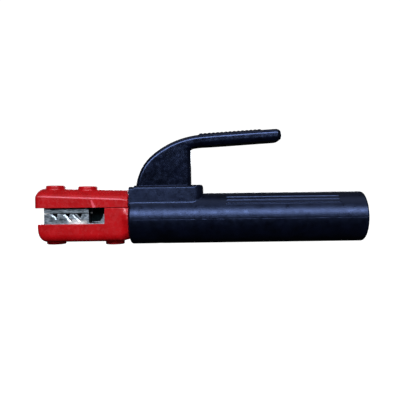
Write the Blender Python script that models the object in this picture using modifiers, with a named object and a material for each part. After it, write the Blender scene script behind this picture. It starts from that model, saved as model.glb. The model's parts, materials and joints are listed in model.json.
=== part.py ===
"""Electrode holder: a spring-closed welding tong with red jaw insulators, a tubular handle and a thumb lever.

Frame: +X from the jaws to the cable end, +Z up, Y across. The origin is under the middle of the holder, on
the plane that it rests on. Sizes are in metres.
"""

import math

import bmesh
import bpy
from mathutils import Matrix, Vector

MM = 0.001
GAP = 0.3 * MM
PAST = 1 * MM

# Handle
HANDLE_FRONT = -52 * MM
HANDLE_REAR = 120 * MM
HANDLE_RADIUS = 18.6 * MM
HANDLE_REAR_RADIUS = 18.5 * MM
HANDLE_BORE = 15.6 * MM
HANDLE_REAR_BORE = 15.3 * MM
AXIS_Z = HANDLE_RADIUS
FRONT_ROUND = 1.8 * MM
REAR_ROUND = 1.2 * MM
LAND_START = 36 * MM
LAND_END = 41 * MM
LAND_RADIUS = 11.5 * MM
RIB_START = 18 * MM
RIB_END = 101 * MM
RIB_ANGLES = (34, 44, 54)
RIB_HEIGHT = 0.5 * MM
RIB_WIDTH = 1.7 * MM
RIB_DEPTH = 1.6 * MM

# Saddle box on the handle, which the lever comes out of
BOX_REAR = 2 * MM
BOX_HALF_WIDTH = 14.5 * MM
BOX_TOP = 43.3 * MM
BOX_LIP_TOP = 42.3 * MM
BOX_LIP_LENGTH = 3 * MM
BOX_LIP_STEP = 0.8 * MM
BOX_CROWN_WIDTH = 6 * MM
BOX_CROWN_DROP = 2.6 * MM
BOX_END_ROUND = 2.4 * MM
BOX_ROOF = 40.3 * MM
BOX_INNER_HALF_WIDTH = 11.5 * MM
BOX_INNER_REAR = -2.6 * MM
SLOT_HALF_WIDTH = 8.2 * MM

# Pivot
PIVOT = Vector((-38 * MM, 0, 34 * MM))
PIN_RADIUS = 3 * MM
PIN_BORE = 3.05 * MM
PIN_HALF_LENGTH = 11.25 * MM
PIN_GROOVE = (9.95 * MM, 10.85 * MM)
PIN_GROOVE_RADIUS = 2.4 * MM
EYE_RADIUS = 6 * MM
EYE_HALF_WIDTH = 6.6 * MM
EAR_INNER = 7 * MM
EAR_OUTER = 9.8 * MM
CLIP = (10.1 * MM, 10.7 * MM)
CLIP_RADIUS = 4.8 * MM
CLIP_BORE = 2.7 * MM
CLIP_MOUTH_HALF_WIDTH = 1.9 * MM

# Jaws
JAW_FRONT = -113.7 * MM
JAW_REAR = -81.2 * MM
JAW_HALF_WIDTH = 12 * MM
JAW_MEET_LOW = 23.2 * MM
JAW_MEET_HIGH = 23.5 * MM
LOWER_JAW_BOTTOM = 7.6 * MM
UPPER_JAW_TOP = 34.5 * MM
GROOVE_COUNT = 3
GROOVE_FIRST = -107.9 * MM
GROOVE_PITCH = 8.8 * MM
GROOVE_WIDTH = 4 * MM
GROOVE_BOTTOM = 3 * MM
GROOVE_DEPTH = 3 * MM
GROOVE_TURN = 11
NOTCH_STARTS = (-107.9 * MM, -99.3 * MM, -92.6 * MM)
NOTCH_TOP = 23 * MM
NOTCH_RUNS = (3.4 * MM, 5.2 * MM, 5.2 * MM)
NOTCH_RADIUS = 0.8 * MM
NOTCH_OUT = 0.4 * MM
THROAT_FLOOR = 16.3 * MM
THROAT_REAR = -69.5 * MM
THROAT_FILLET = 4 * MM
WEB_HALF_WIDTH = 3.5 * MM
WEB_TOP = 28 * MM
BLOCK_REAR = -57.3 * MM
NECK_HALF_WIDTH = 10 * MM
NECK_BOTTOM = 8.6 * MM
NECK_TOP = 26.8 * MM
BLOCK_TOP = 28.1 * MM
NECK_REAR = -46 * MM
BAR_BOTTOM = 28.4 * MM

# Spring floor, side plates and cable socket of the lower casting
FLOOR_BOTTOM = 6.5 * MM
FLOOR_TOP = 11.5 * MM
FLOOR_HALF_WIDTH = 9 * MM
FLOOR_REAR = 4 * MM
PLATE_REAR = -28 * MM
PLATE_TOP = 26 * MM
SOCKET_START = -2 * MM
SOCKET_END = 42 * MM
SOCKET_RADIUS = 11 * MM
SOCKET_BORE = 6.7 * MM
SOCKET_BORE_START = 6 * MM
SLEEVE_START = 8 * MM
SLEEVE_END = 41.5 * MM
SLEEVE_OUTER = 6.4 * MM
SLEEVE_INNER = 5.8 * MM
SET_SCREW_X = {"front": 12 * MM, "rear": 27 * MM}
SET_SCREW_RADIUS = 4 * MM
SET_SCREW_LENGTH = 7.6 * MM
SET_SCREW_HEX = 2.3 * MM
SET_SCREW_HEX_DEPTH = 4 * MM

# Insulators
SHELL_HALF_WIDTH = 15 * MM
PLAN_ROUND = 3.5 * MM
FRONT_STEPS = (0, 0.4 * MM, 1.1 * MM, 2.2 * MM, 3.8 * MM)
CAVITY_HALF_WIDTH = JAW_HALF_WIDTH + GAP
CAVITY_FRONT = JAW_FRONT - GAP
BULKHEAD_X = -57 * MM
UPPER_FRONT = -120 * MM
UPPER_REAR = -53.7 * MM
UPPER_BOTTOM = 27.45 * MM
UPPER_EDGE_FRONT = 36.4 * MM
UPPER_EDGE_REAR = 33.3 * MM
UPPER_EDGE_REAR_DROP = 0.5 * MM
UPPER_EDGE_FALL = 0.3
UPPER_TOP_FRONT = 42.2 * MM
UPPER_TOP_REAR = 40.1 * MM
UPPER_FRONT_ROUND = 4.8 * MM
UPPER_EDGE_ROUND = 1.5 * MM
UPPER_TONGUE_REAR = -50.5 * MM
UPPER_TONGUE_HALF_WIDTH = 11 * MM
UPPER_TONGUE_TOP = 37 * MM
LOWER_FRONT = -118.3 * MM
LOWER_REAR = HANDLE_FRONT - GAP
LOWER_BOTTOM = 2.8 * MM
LOWER_TOP = 27.2 * MM
LOWER_SIDE_Z = 22 * MM
LOWER_SLOT_Z = 15.8 * MM
LOWER_FRONT_ROUND = 7 * MM
LOWER_EDGE_ROUND = 5.5 * MM
FLARE_LENGTH = 6 * MM
FLARE_RADIUS = 17 * MM

# Screw collars: the x and rim z of each
UPPER_COLLARS = {"front": (-108.7 * MM, 44.1 * MM), "rear": (-84.6 * MM, 43.25 * MM)}
LOWER_COLLARS = {"front": (-108.5 * MM, 0.5 * MM), "rear": (-64.5 * MM, 0.0)}
COLLAR_RADIUS = 7 * MM
COLLAR_LENGTH = 5.5 * MM
COLLAR_ROUND = 0.7 * MM
COLLAR_BORE = 4.75 * MM
COLLAR_RECESS = 4.6 * MM
SCREW_SUNK = 1.6 * MM
SCREW_HEAD_RADIUS = 4.4 * MM
SCREW_HEAD_HEIGHT = 2.7 * MM
SCREW_SHANK_RADIUS = 2.4 * MM
SCREW_LENGTH = 14.4 * MM
SCREW_HOLE_DEPTH = 13.8 * MM
SCREW_SLOT_HALF_WIDTH = 0.6 * MM
SCREW_SLOT_DEPTH = 1.1 * MM

# Screw that holds the handle on the casting
FIXING_X = -30 * MM
FIXING_HEAD_RADIUS = 3.4 * MM
FIXING_HEAD = (0.5 * MM, 2.3 * MM)
FIXING_SHANK_RADIUS = 1.9 * MM
FIXING_TIP = 10.4 * MM
FIXING_RECESS = 2.6 * MM
BOSS_RADIUS = 6 * MM
BOSS_TOP = 4.6 * MM
PAD_BOTTOM = 5 * MM
PAD_HALF_WIDTH = 4 * MM
PAD_X = (FIXING_X - 6 * MM, FIXING_X + 6 * MM)

# Thumb lever: the outer side runs through arcs of (radius, heading at the end in degrees)
LEVER_START = Vector((-47.9 * MM, 40.5 * MM))
LEVER_START_HEADING = 88.5
LEVER_ARCS = ((34 * MM, 40.8), (62.6 * MM, 3.4))
LEVER_TIP = 60.5 * MM
LEVER_THICKNESS = 8.9 * MM
LEVER_HALF_WIDTH = 9.5 * MM
LEVER_ROOT_HALF_WIDTH = 7 * MM
LEVER_WIDENS = (-9 * MM, 16 * MM)
LEVER_END_LENGTH = 5.5 * MM
LEVER_EDGE_ROUND = 3.2 * MM
FIN_REAR = -6.9 * MM
FIN_HALF_WIDTH = 7 * MM
FIN_EDGE_ROUND = 3.4 * MM
SKIRT_FRONT = -31 * MM
SKIRT_BOTTOM = 35.3 * MM
GRIP = (-0.8 * MM, 45.4 * MM)
GRIP_HALF_WIDTH = 5.5 * MM
GRIP_HEIGHT = 0.5 * MM
RIDGE_COUNT = 15
RIDGE_LENGTH = 1.8 * MM
RIDGE_HEIGHT = 0.9 * MM
RIDGE_DEPTH = 2 * MM

# Blade and foot of the upper casting, inside the lever
BLADE_REAR = -12 * MM
BLADE_BOTTOM = 33 * MM
BLADE_TOP = 60 * MM
BLADE_HALF_WIDTH = 3.2 * MM
BLADE_FRONT_CORNER = 9 * MM
BLADE_REAR_CORNER = 3 * MM
TANG_REAR = -31.4 * MM
TANG_BOTTOM = 30 * MM
TANG_TOP = 39.7 * MM
FOOT_REAR = -8 * MM
FOOT_TOP = 35 * MM
FOOT_HALF_WIDTH = 6 * MM
CROSS_PINS = {"front": (-27 * MM, 38.6 * MM), "rear": (-15 * MM, 38.6 * MM)}
CROSS_PIN_RADIUS = 1.5 * MM
CROSS_PIN_HALF_LENGTH = 6.6 * MM

# Spring between two insulating washers, each with a stub inside the coil
SPRING_X = -18 * MM
SPRING_WIRE_RADIUS = 0.9 * MM
SPRING_MEAN_RADIUS = 4.6 * MM
SPRING_TURNS = 5
SPRING_END_TURNS = 0.75
SPRING_END_PITCH = 2 * MM
SPRING_BOTTOM = 13.8 * MM
SPRING_TOP = 30.6 * MM
SEAT_RADIUS = 6.2 * MM
SEAT = (FLOOR_TOP + GAP, 13.5 * MM)
SEAT_STUB_TOP = 16 * MM
CAP_RADIUS = 5.8 * MM
CAP = (30.9 * MM, BLADE_BOTTOM - GAP)
CAP_STUB_BOTTOM = 28.5 * MM
STUB_RADIUS = 3.2 * MM

# Finishes: colour, roughness, metallic
RED = ((0.402, 0.0116, 0.0144), 0.42, 0.0)
BLACK = ((0.0065, 0.0085, 0.0165), 0.38, 0.0)
PLATED = ((0.30, 0.34, 0.40), 0.38, 1.0)
STEEL = ((0.42, 0.42, 0.43), 0.35, 1.0)
BLACK_STEEL = ((0.03, 0.03, 0.032), 0.45, 1.0)
COPPER = ((0.72, 0.30, 0.17), 0.35, 1.0)
FIBRE = ((0.18, 0.035, 0.02), 0.7, 0.0)


def clear_scene():
    for thing in list(bpy.data.objects):
        bpy.data.objects.remove(thing, do_unlink=True)


def new_collection(name):
    collection = bpy.data.collections.new(name)
    bpy.context.scene.collection.children.link(collection)
    return collection


def helper(name, data):
    """A shape that isn't a part yet: it stays a cutter or an addition unless part() takes it."""
    thing = bpy.data.objects.new(name, data)
    thing.hide_render = True
    thing.display_type = "WIRE"
    bpy.data.collections["cutters"].objects.link(thing)
    return thing


def part(name, shape, finish):
    """Makes a helper shape into a named part with its own material."""
    colour, roughness, metallic = finish
    material = bpy.data.materials.new(name)
    material.use_nodes = True
    shader = material.node_tree.nodes["Principled BSDF"]
    shader.inputs["Base Color"].default_value = (*colour, 1)
    shader.inputs["Roughness"].default_value = roughness
    shader.inputs["Metallic"].default_value = metallic
    shape.name = shape.data.name = name
    shape.hide_render = False
    shape.display_type = "TEXTURED"
    shape.data.materials.append(material)
    bpy.data.collections["cutters"].objects.unlink(shape)
    bpy.data.collections["electrode_holder"].objects.link(shape)
    return shape


def boolean(thing, operation, shapes):
    for shape in shapes:
        modifier = thing.modifiers.new(f"{operation.lower()} {shape.name}", "BOOLEAN")
        modifier.operation = operation
        modifier.solver = "EXACT"
        modifier.object = shape


def add(thing, *shapes):
    boolean(thing, "UNION", shapes)


def cut(thing, *shapes):
    boolean(thing, "DIFFERENCE", shapes)


def mesh_from(shape, name):
    bmesh.ops.recalc_face_normals(shape, faces=shape.faces)
    mesh = bpy.data.meshes.new(name)
    shape.to_mesh(mesh)
    shape.free()
    mesh.shade_smooth()
    mesh.set_sharp_from_angle(angle=math.radians(35))
    return mesh


def box(low, high, bevel=0.0):
    low, high = Vector(low), Vector(high)
    shape = bmesh.new()
    bmesh.ops.create_cube(shape, size=1)
    bmesh.ops.scale(shape, vec=high - low, verts=shape.verts)
    if bevel:
        bmesh.ops.bevel(shape, geom=shape.edges[:], offset=bevel, segments=2, profile=0.5, affect="EDGES")
    thing = helper("box", mesh_from(shape, "box"))
    thing.location = (low + high) / 2
    return thing


def slab(x, half_width, z):
    """A box that is symmetric about the middle plane."""
    return box((x[0], -half_width, z[0]), (x[1], half_width, z[1]))


def rod(start, end, radius, sides=32, end_round=0.0):
    start, end = Vector(start), Vector(end)
    along = end - start
    shape = bmesh.new()
    bmesh.ops.create_cone(
        shape, cap_ends=True, segments=sides, radius1=radius, radius2=radius, depth=along.length
    )
    if end_round:
        rims = [edge for edge in shape.edges if abs(edge.verts[0].co.z - edge.verts[1].co.z) < radius / 100]
        bmesh.ops.bevel(shape, geom=rims, offset=end_round, segments=3, profile=0.5, affect="EDGES")
    thing = helper("rod", mesh_from(shape, "rod"))
    thing.location = (start + end) / 2
    thing.rotation_mode = "QUATERNION"
    thing.rotation_quaternion = Vector((0, 0, 1)).rotation_difference(along)
    return thing


def upright(x, z, radius, **options):
    return rod((x, 0, z[0]), (x, 0, z[1]), radius, **options)


def crosswise(x, y, z, radius, **options):
    return rod((x, y[0], z), (x, y[1], z), radius, **options)


def lengthwise(x, radius, **options):
    return rod((x[0], 0, AXIS_Z), (x[1], 0, AXIS_Z), radius, **options)


def turned(profile, centre, along, steps=56):
    """A (radius, height) profile, from the top down the outer side, turned with a Screw modifier."""
    shape = bmesh.new()
    points = [shape.verts.new((radius, 0, height)) for radius, height in profile]
    for first, second in zip(points, points[1:]):
        shape.edges.new((first, second))
    mesh = bpy.data.meshes.new("turned")
    shape.to_mesh(mesh)
    shape.free()
    thing = helper("turned", mesh)
    thing.location = centre
    thing.rotation_mode = "QUATERNION"
    thing.rotation_quaternion = Vector((0, 0, 1)).rotation_difference(Vector(along))
    screw = thing.modifiers.new("turn", "SCREW")
    screw.steps = screw.render_steps = steps
    screw.use_merge_vertices = True
    screw.merge_threshold = 0.00001
    return thing


def loft(sections):
    """A closed skin over rings with the same number of points, with a flat cap at each end."""
    shape = bmesh.new()
    rings = [[shape.verts.new(point) for point in section] for section in sections]
    for ring, following in zip(rings, rings[1:]):
        for i, point in enumerate(ring):
            shape.faces.new((ring[i - 1], point, following[i], following[i - 1]))
    shape.faces.new(rings[0])
    shape.faces.new(rings[-1])
    return helper("loft", mesh_from(shape, "loft"))


def fillet(corners, steps=4):
    """The outline through (a, b, radius) corners, where a corner with a radius becomes an arc."""
    outline = []
    for i, (a, b, radius) in enumerate(corners):
        corner = Vector((a, b))
        if not radius:
            outline.append(corner)
            continue
        before = (Vector(corners[i - 1][:2]) - corner).normalized()
        after = (Vector(corners[(i + 1) % len(corners)][:2]) - corner).normalized()
        half = before.angle(after) / 2
        centre = corner + (before + after).normalized() * (radius / math.sin(half))
        spoke = corner + before * (radius / math.tan(half)) - centre
        sweep = math.copysign(math.pi - 2 * half, before.x * after.y - before.y * after.x)
        outline += [centre + Matrix.Rotation(-sweep * k / steps, 2) @ spoke for k in range(steps + 1)]
    return outline


def plate(outline, half_thickness, rounded_x=None, bevel=0.0):
    """An outline of (x, z) points as a 2D curve, extruded to both sides of the middle plane, as a mesh.

    Its two upright edges at rounded_x can be bevelled.
    """
    curve = bpy.data.curves.new("plate", "CURVE")
    curve.dimensions = "2D"
    curve.fill_mode = "BOTH"
    curve.extrude = half_thickness
    spline = curve.splines.new("POLY")
    spline.points.add(len(outline) - 1)
    for point, (a, b) in zip(spline.points, outline):
        point.co = (a, b, 0, 1)
    spline.use_cyclic_u = True
    drawn = helper("plate", curve)
    drawn.rotation_euler = (math.pi / 2, 0, 0)
    bpy.context.view_layer.update()
    mesh = bpy.data.meshes.new_from_object(drawn.evaluated_get(bpy.context.evaluated_depsgraph_get()))
    shape = bmesh.new()
    shape.from_mesh(mesh)
    bmesh.ops.remove_doubles(shape, verts=shape.verts, dist=0.00001)
    bpy.data.meshes.remove(mesh)
    if bevel:
        edges = [edge for edge in shape.edges if is_upright_edge(edge, rounded_x)]
        bmesh.ops.bevel(shape, geom=edges, offset=bevel, segments=3, profile=0.5, affect="EDGES")
    thing = helper("plate", mesh_from(shape, "plate"))
    thing.matrix_world = drawn.matrix_world
    bpy.data.objects.remove(drawn)
    return thing


def is_upright_edge(edge, x):
    first, second = (vertex.co for vertex in edge.verts)
    near = 0.01 * MM
    return abs(first.x - x) < near and abs(second.x - x) < near and abs(first.z - second.z) < near


def quarter(steps):
    return [math.pi / 2 * k / steps for k in range(steps + 1)]


def round_drop(radius, distance):
    """How far a rounded corner has fallen away, at a distance in from its end."""
    if distance >= radius:
        return 0.0
    return radius - math.sqrt(radius**2 - (radius - distance) ** 2)


# ---- Handle


def handle_radius(x):
    share = (x - HANDLE_FRONT) / (HANDLE_REAR - HANDLE_FRONT)
    return HANDLE_RADIUS + (HANDLE_REAR_RADIUS - HANDLE_RADIUS) * share


def handle_outside():
    rear = [
        (HANDLE_REAR_RADIUS - REAR_ROUND * (1 - math.sin(a)), HANDLE_REAR - REAR_ROUND * (1 - math.cos(a)))
        for a in quarter(3)
    ]
    front = [
        (HANDLE_RADIUS - FRONT_ROUND * (1 - math.cos(a)), HANDLE_FRONT + FRONT_ROUND * (1 - math.sin(a)))
        for a in quarter(3)
    ]
    return turned([(0, HANDLE_REAR), *rear, *front, (0, HANDLE_FRONT)], (0, 0, AXIS_Z), (1, 0, 0))


def handle_inside():
    profile = [
        (0, HANDLE_REAR + PAST),
        (HANDLE_REAR_BORE, HANDLE_REAR + PAST),
        (HANDLE_REAR_BORE, LAND_END),
        (LAND_RADIUS, LAND_END),
        (LAND_RADIUS, LAND_START),
        (HANDLE_BORE, LAND_START),
        (HANDLE_BORE, HANDLE_FRONT - PAST),
        (0, HANDLE_FRONT - PAST),
    ]
    return turned(profile, (0, 0, AXIS_Z), (1, 0, 0))


def saddle_section(x, top, inset=0.0):
    half = BOX_HALF_WIDTH - inset
    crown = [
        (half - BOX_CROWN_WIDTH * (1 - math.cos(a)), top - inset - BOX_CROWN_DROP * (1 - math.sin(a)))
        for a in quarter(4)
    ]
    side = [(half, AXIS_Z), *crown]
    return [(x, y, z) for y, z in side] + [(x, -y, z) for y, z in reversed(side)]


def saddle():
    lip_end = HANDLE_FRONT + BOX_LIP_LENGTH
    sections = [
        saddle_section(HANDLE_FRONT, BOX_LIP_TOP),
        saddle_section(lip_end, BOX_LIP_TOP),
        saddle_section(lip_end + BOX_LIP_STEP, BOX_TOP),
    ]
    for a in quarter(4):
        x = BOX_REAR - BOX_END_ROUND * (1 - math.sin(a))
        sections.append(saddle_section(x, BOX_TOP, BOX_END_ROUND * (1 - math.cos(a))))
    return loft(sections)


def rib(angle):
    middle = (RIB_START + RIB_END) / 2
    radius = handle_radius(middle) + RIB_HEIGHT - RIB_DEPTH / 2
    half = Vector(((RIB_END - RIB_START) / 2, RIB_WIDTH / 2, RIB_DEPTH / 2))
    thing = box(-half, half)
    thing.location = (middle, radius * math.sin(angle), AXIS_Z + radius * math.cos(angle))
    thing.rotation_euler = (-angle, 0, 0)
    return thing


def make_handle():
    handle = part("handle", handle_outside(), BLACK)
    add(handle, saddle())
    for degrees in RIB_ANGLES:
        add(handle, rib(math.radians(degrees)), rib(math.radians(-degrees)))
    inside = (HANDLE_FRONT - PAST, BOX_INNER_REAR)
    cut(
        handle,
        handle_inside(),
        slab(inside, BOX_INNER_HALF_WIDTH, (AXIS_Z, BOX_ROOF)),
        slab(inside, SLOT_HALF_WIDTH, (BOX_ROOF - PAST, BOX_TOP + PAST)),
    )
    add(handle, upright(FIXING_X, (FIXING_RECESS - PAST, BOSS_TOP), BOSS_RADIUS))
    cut(
        handle,
        upright(FIXING_X, (-PAST, FIXING_RECESS), FIXING_HEAD_RADIUS + GAP),
        upright(FIXING_X, (FIXING_RECESS - PAST, BOSS_TOP + PAST), FIXING_SHANK_RADIUS + GAP),
    )


def make_handle_fixing_screw():
    screw = part("handle_fixing_screw", upright(FIXING_X, FIXING_HEAD, FIXING_HEAD_RADIUS), STEEL)
    add(screw, upright(FIXING_X, (FIXING_HEAD[1] - PAST, FIXING_TIP), FIXING_SHANK_RADIUS, sides=20))
    slot_top = FIXING_HEAD[0] + SCREW_SLOT_DEPTH
    cut(
        screw,
        box(
            (FIXING_X - SCREW_SLOT_HALF_WIDTH, -COLLAR_BORE, -PAST),
            (FIXING_X + SCREW_SLOT_HALF_WIDTH, COLLAR_BORE, slot_top),
        ),
    )


# ---- Lower casting


def groove(index):
    """A saw-toothed groove across the lower jaw, turned a little about its near end."""
    start = GROOVE_FIRST + index * GROOVE_PITCH
    outline = [
        (-PAST, PAST),
        (GROOVE_BOTTOM, -GROOVE_DEPTH),
        (GROOVE_WIDTH + GAP, PAST),
    ]
    thing = plate(outline, 2 * JAW_HALF_WIDTH)
    near_end = Matrix.Translation((start, -JAW_HALF_WIDTH, JAW_MEET_LOW))
    thing.matrix_world = near_end @ Matrix.Rotation(math.radians(-GROOVE_TURN), 4, "Z") @ thing.matrix_world
    return thing


def make_lower_jaw_body():
    outline = fillet(
        [
            (JAW_FRONT, LOWER_JAW_BOTTOM, 0),
            (JAW_FRONT, JAW_MEET_LOW, 0),
            (JAW_REAR, JAW_MEET_LOW, 0),
            (JAW_REAR, THROAT_FLOOR, 0),
            (THROAT_REAR, THROAT_FLOOR, THROAT_FILLET),
            (THROAT_REAR, BLOCK_TOP, 0),
            (BLOCK_REAR, BLOCK_TOP, 0),
            (BLOCK_REAR, LOWER_JAW_BOTTOM, 0),
        ]
    )
    casting = part("lower_jaw_body", plate(outline, JAW_HALF_WIDTH), PLATED)
    add(
        casting,
        slab((JAW_REAR - PAST, THROAT_REAR + PAST), WEB_HALF_WIDTH, (THROAT_FLOOR - PAST, JAW_MEET_LOW)),
        slab((JAW_REAR + PAST, THROAT_REAR + PAST), WEB_HALF_WIDTH, (JAW_MEET_LOW - PAST, WEB_TOP)),
        slab((BLOCK_REAR - PAST, NECK_REAR), NECK_HALF_WIDTH, (NECK_BOTTOM, NECK_TOP)),
        slab((NECK_REAR - PAST, FLOOR_REAR), FLOOR_HALF_WIDTH, (FLOOR_BOTTOM, FLOOR_TOP)),
        slab(PAD_X, PAD_HALF_WIDTH, (PAD_BOTTOM, FLOOR_TOP - PAST)),
        lengthwise((SOCKET_START, SOCKET_END), SOCKET_RADIUS, sides=40),
    )
    for inner, outer in ((EAR_INNER, EAR_OUTER), (-EAR_OUTER, -EAR_INNER)):
        add(
            casting,
            box((NECK_REAR - PAST, inner, FLOOR_TOP - PAST), (PLATE_REAR, outer, PLATE_TOP)),
            box((PIVOT.x - EYE_RADIUS, inner, PLATE_TOP - PAST), (PIVOT.x + EYE_RADIUS, outer, PIVOT.z)),
            crosswise(PIVOT.x, (inner, outer), PIVOT.z, EYE_RADIUS),
        )
    for index in range(GROOVE_COUNT):
        cut(casting, groove(index))
    for side in (-1, 1):
        for x, run in zip(NOTCH_STARTS, NOTCH_RUNS):
            y = side * (JAW_HALF_WIDTH + NOTCH_OUT)
            ends = ((x, y, NOTCH_TOP), (x + run, y, NOTCH_TOP - run))
            cut(casting, rod(*ends, NOTCH_RADIUS, sides=16))
    for x, _ in LOWER_COLLARS.values():
        top = SCREW_SUNK + SCREW_LENGTH + PAST
        cut(casting, upright(x, (LOWER_JAW_BOTTOM - PAST, top), SCREW_SHANK_RADIUS + GAP, sides=24))
    for x in SET_SCREW_X.values():
        cut(casting, upright(x, (AXIS_Z, AXIS_Z + SOCKET_RADIUS + PAST), SET_SCREW_RADIUS + GAP))
    cut(
        casting,
        lengthwise((SOCKET_BORE_START, SOCKET_END + PAST), SOCKET_BORE, sides=40),
        upright(FIXING_X, (PAD_BOTTOM - PAST, FIXING_TIP + GAP), FIXING_SHANK_RADIUS + GAP, sides=20),
        crosswise(PIVOT.x, (-EAR_OUTER - PAST, EAR_OUTER + PAST), PIVOT.z, PIN_BORE),
    )


def make_cable_clamp():
    sleeve = part("cable_sleeve", lengthwise((SLEEVE_START, SLEEVE_END), SLEEVE_OUTER), COPPER)
    cut(sleeve, lengthwise((SLEEVE_START - PAST, SLEEVE_END + PAST), SLEEVE_INNER))
    for place, x in SET_SCREW_X.items():
        bottom = AXIS_Z + SLEEVE_OUTER + GAP
        top = bottom + SET_SCREW_LENGTH
        screw = part(f"cable_set_screw_{place}", upright(x, (bottom, top), SET_SCREW_RADIUS), BLACK_STEEL)
        cut(screw, upright(x, (top - SET_SCREW_HEX_DEPTH, top + PAST), SET_SCREW_HEX, sides=6))


# ---- Pivot and spring


def make_pivot():
    groove_in, groove_out = PIN_GROOVE
    end = [
        (PIN_RADIUS - GAP, PIN_HALF_LENGTH),
        (PIN_RADIUS, PIN_HALF_LENGTH - GAP),
        (PIN_RADIUS, groove_out),
        (PIN_GROOVE_RADIUS, groove_out),
        (PIN_GROOVE_RADIUS, groove_in),
        (PIN_RADIUS, groove_in),
    ]
    other_end = [(radius, -height) for radius, height in reversed(end)]
    profile = [(0, PIN_HALF_LENGTH), *end, *other_end, (0, -PIN_HALF_LENGTH)]
    part("pivot_pin", turned(profile, PIVOT, (0, 1, 0), steps=32), STEEL)
    for side, sign in (("left", -1), ("right", 1)):
        low, high = sorted(sign * y for y in CLIP)
        clip = part(f"pivot_clip_{side}", crosswise(PIVOT.x, (low, high), PIVOT.z, CLIP_RADIUS), BLACK_STEEL)
        cut(
            clip,
            crosswise(PIVOT.x, (low - PAST, high + PAST), PIVOT.z, CLIP_BORE),
            box(
                (PIVOT.x - CLIP_MOUTH_HALF_WIDTH, low - PAST, PIVOT.z - 2 * CLIP_RADIUS),
                (PIVOT.x + CLIP_MOUTH_HALF_WIDTH, high + PAST, PIVOT.z),
            ),
        )


def spring_height(turn):
    """Height of the wire's middle after some turns: the coil is nearly closed at each end."""
    low = SPRING_BOTTOM + SPRING_WIRE_RADIUS
    high = SPRING_TOP - SPRING_WIRE_RADIUS
    end_rise = SPRING_END_TURNS * SPRING_END_PITCH
    if turn < SPRING_END_TURNS:
        return low + turn * SPRING_END_PITCH
    if turn > SPRING_TURNS - SPRING_END_TURNS:
        return high - (SPRING_TURNS - turn) * SPRING_END_PITCH
    share = (turn - SPRING_END_TURNS) / (SPRING_TURNS - 2 * SPRING_END_TURNS)
    return low + end_rise + share * (high - low - 2 * end_rise)


def make_spring():
    points_per_turn = 14
    curve = bpy.data.curves.new("lever_spring", "CURVE")
    curve.dimensions = "3D"
    curve.bevel_depth = SPRING_WIRE_RADIUS
    curve.bevel_resolution = 2
    curve.use_fill_caps = True
    spline = curve.splines.new("POLY")
    count = SPRING_TURNS * points_per_turn
    spline.points.add(count)
    for k, point in enumerate(spline.points):
        turn = k / points_per_turn
        angle = 2 * math.pi * turn
        x = SPRING_MEAN_RADIUS * math.cos(angle)
        y = SPRING_MEAN_RADIUS * math.sin(angle)
        point.co = (x, y, spring_height(turn), 1)
    spring = part("lever_spring", helper("spring", curve), STEEL)
    spring.location = (SPRING_X, 0, 0)
    seat = part("spring_seat", upright(SPRING_X, SEAT, SEAT_RADIUS), FIBRE)
    add(seat, upright(SPRING_X, (SEAT[1] - PAST, SEAT_STUB_TOP), STUB_RADIUS))
    cap = part("spring_cap", upright(SPRING_X, CAP, CAP_RADIUS), FIBRE)
    add(cap, upright(SPRING_X, (CAP_STUB_BOTTOM, CAP[0] + PAST), STUB_RADIUS))
    return cap


# ---- Insulators and their screws


def lower_section(x, half, bottom, flare):
    """A U-shaped section, with a share of it drawn out to the round end that meets the handle."""
    side = [(half, z, 0) for z in (LOWER_TOP, LOWER_SIDE_Z, AXIS_Z)]
    corners = [(-y, z, r) for y, z, r in side]
    corners += [(-half, bottom, LOWER_EDGE_ROUND), (half, bottom, LOWER_EDGE_ROUND)]
    corners += list(reversed(side))
    centre = Vector((0, AXIS_Z))
    section = []
    for point in fillet(corners, steps=5):
        round_point = centre + (point - centre).normalized() * FLARE_RADIUS
        if point.y > LOWER_TOP - GAP:
            reach = math.sqrt(FLARE_RADIUS**2 - (LOWER_TOP - AXIS_Z) ** 2)
            round_point = Vector((math.copysign(reach, point.x), LOWER_TOP))
        y, z = point.lerp(round_point, flare)
        section.append((x, y, z))
    return section


def lower_shell():
    sections = []
    for distance in (*FRONT_STEPS, LOWER_FRONT_ROUND):
        half = SHELL_HALF_WIDTH - round_drop(PLAN_ROUND, distance)
        bottom = LOWER_BOTTOM + round_drop(LOWER_FRONT_ROUND, distance)
        sections.append(lower_section(LOWER_FRONT + distance, half, bottom, 0))
    for share in (0, 0.25, 0.5, 0.75, 1):
        x = LOWER_REAR - FLARE_LENGTH * (1 - share)
        flare = share * share * (3 - 2 * share)
        sections.append(lower_section(x, SHELL_HALF_WIDTH, LOWER_BOTTOM, flare))
    return loft(sections)


def upper_section(x, half, edge, top):
    """An arched section: two upright sides and a shallow arch between them."""
    rise = top - edge
    radius = (half**2 + rise**2) / (2 * rise)
    reach = math.asin(half / radius)
    arch = []
    for k in range(1, 8):
        angle = reach * (1 - k / 4)
        arch.append((radius * math.sin(angle), top - radius * (1 - math.cos(angle)), 0))
    corners = [(half, UPPER_BOTTOM, 0), (half, edge, UPPER_EDGE_ROUND), *arch]
    corners += [(-half, edge, UPPER_EDGE_ROUND), (-half, UPPER_BOTTOM, 0)]
    return [(x, y, z) for y, z in fillet(corners, steps=2)]


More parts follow.
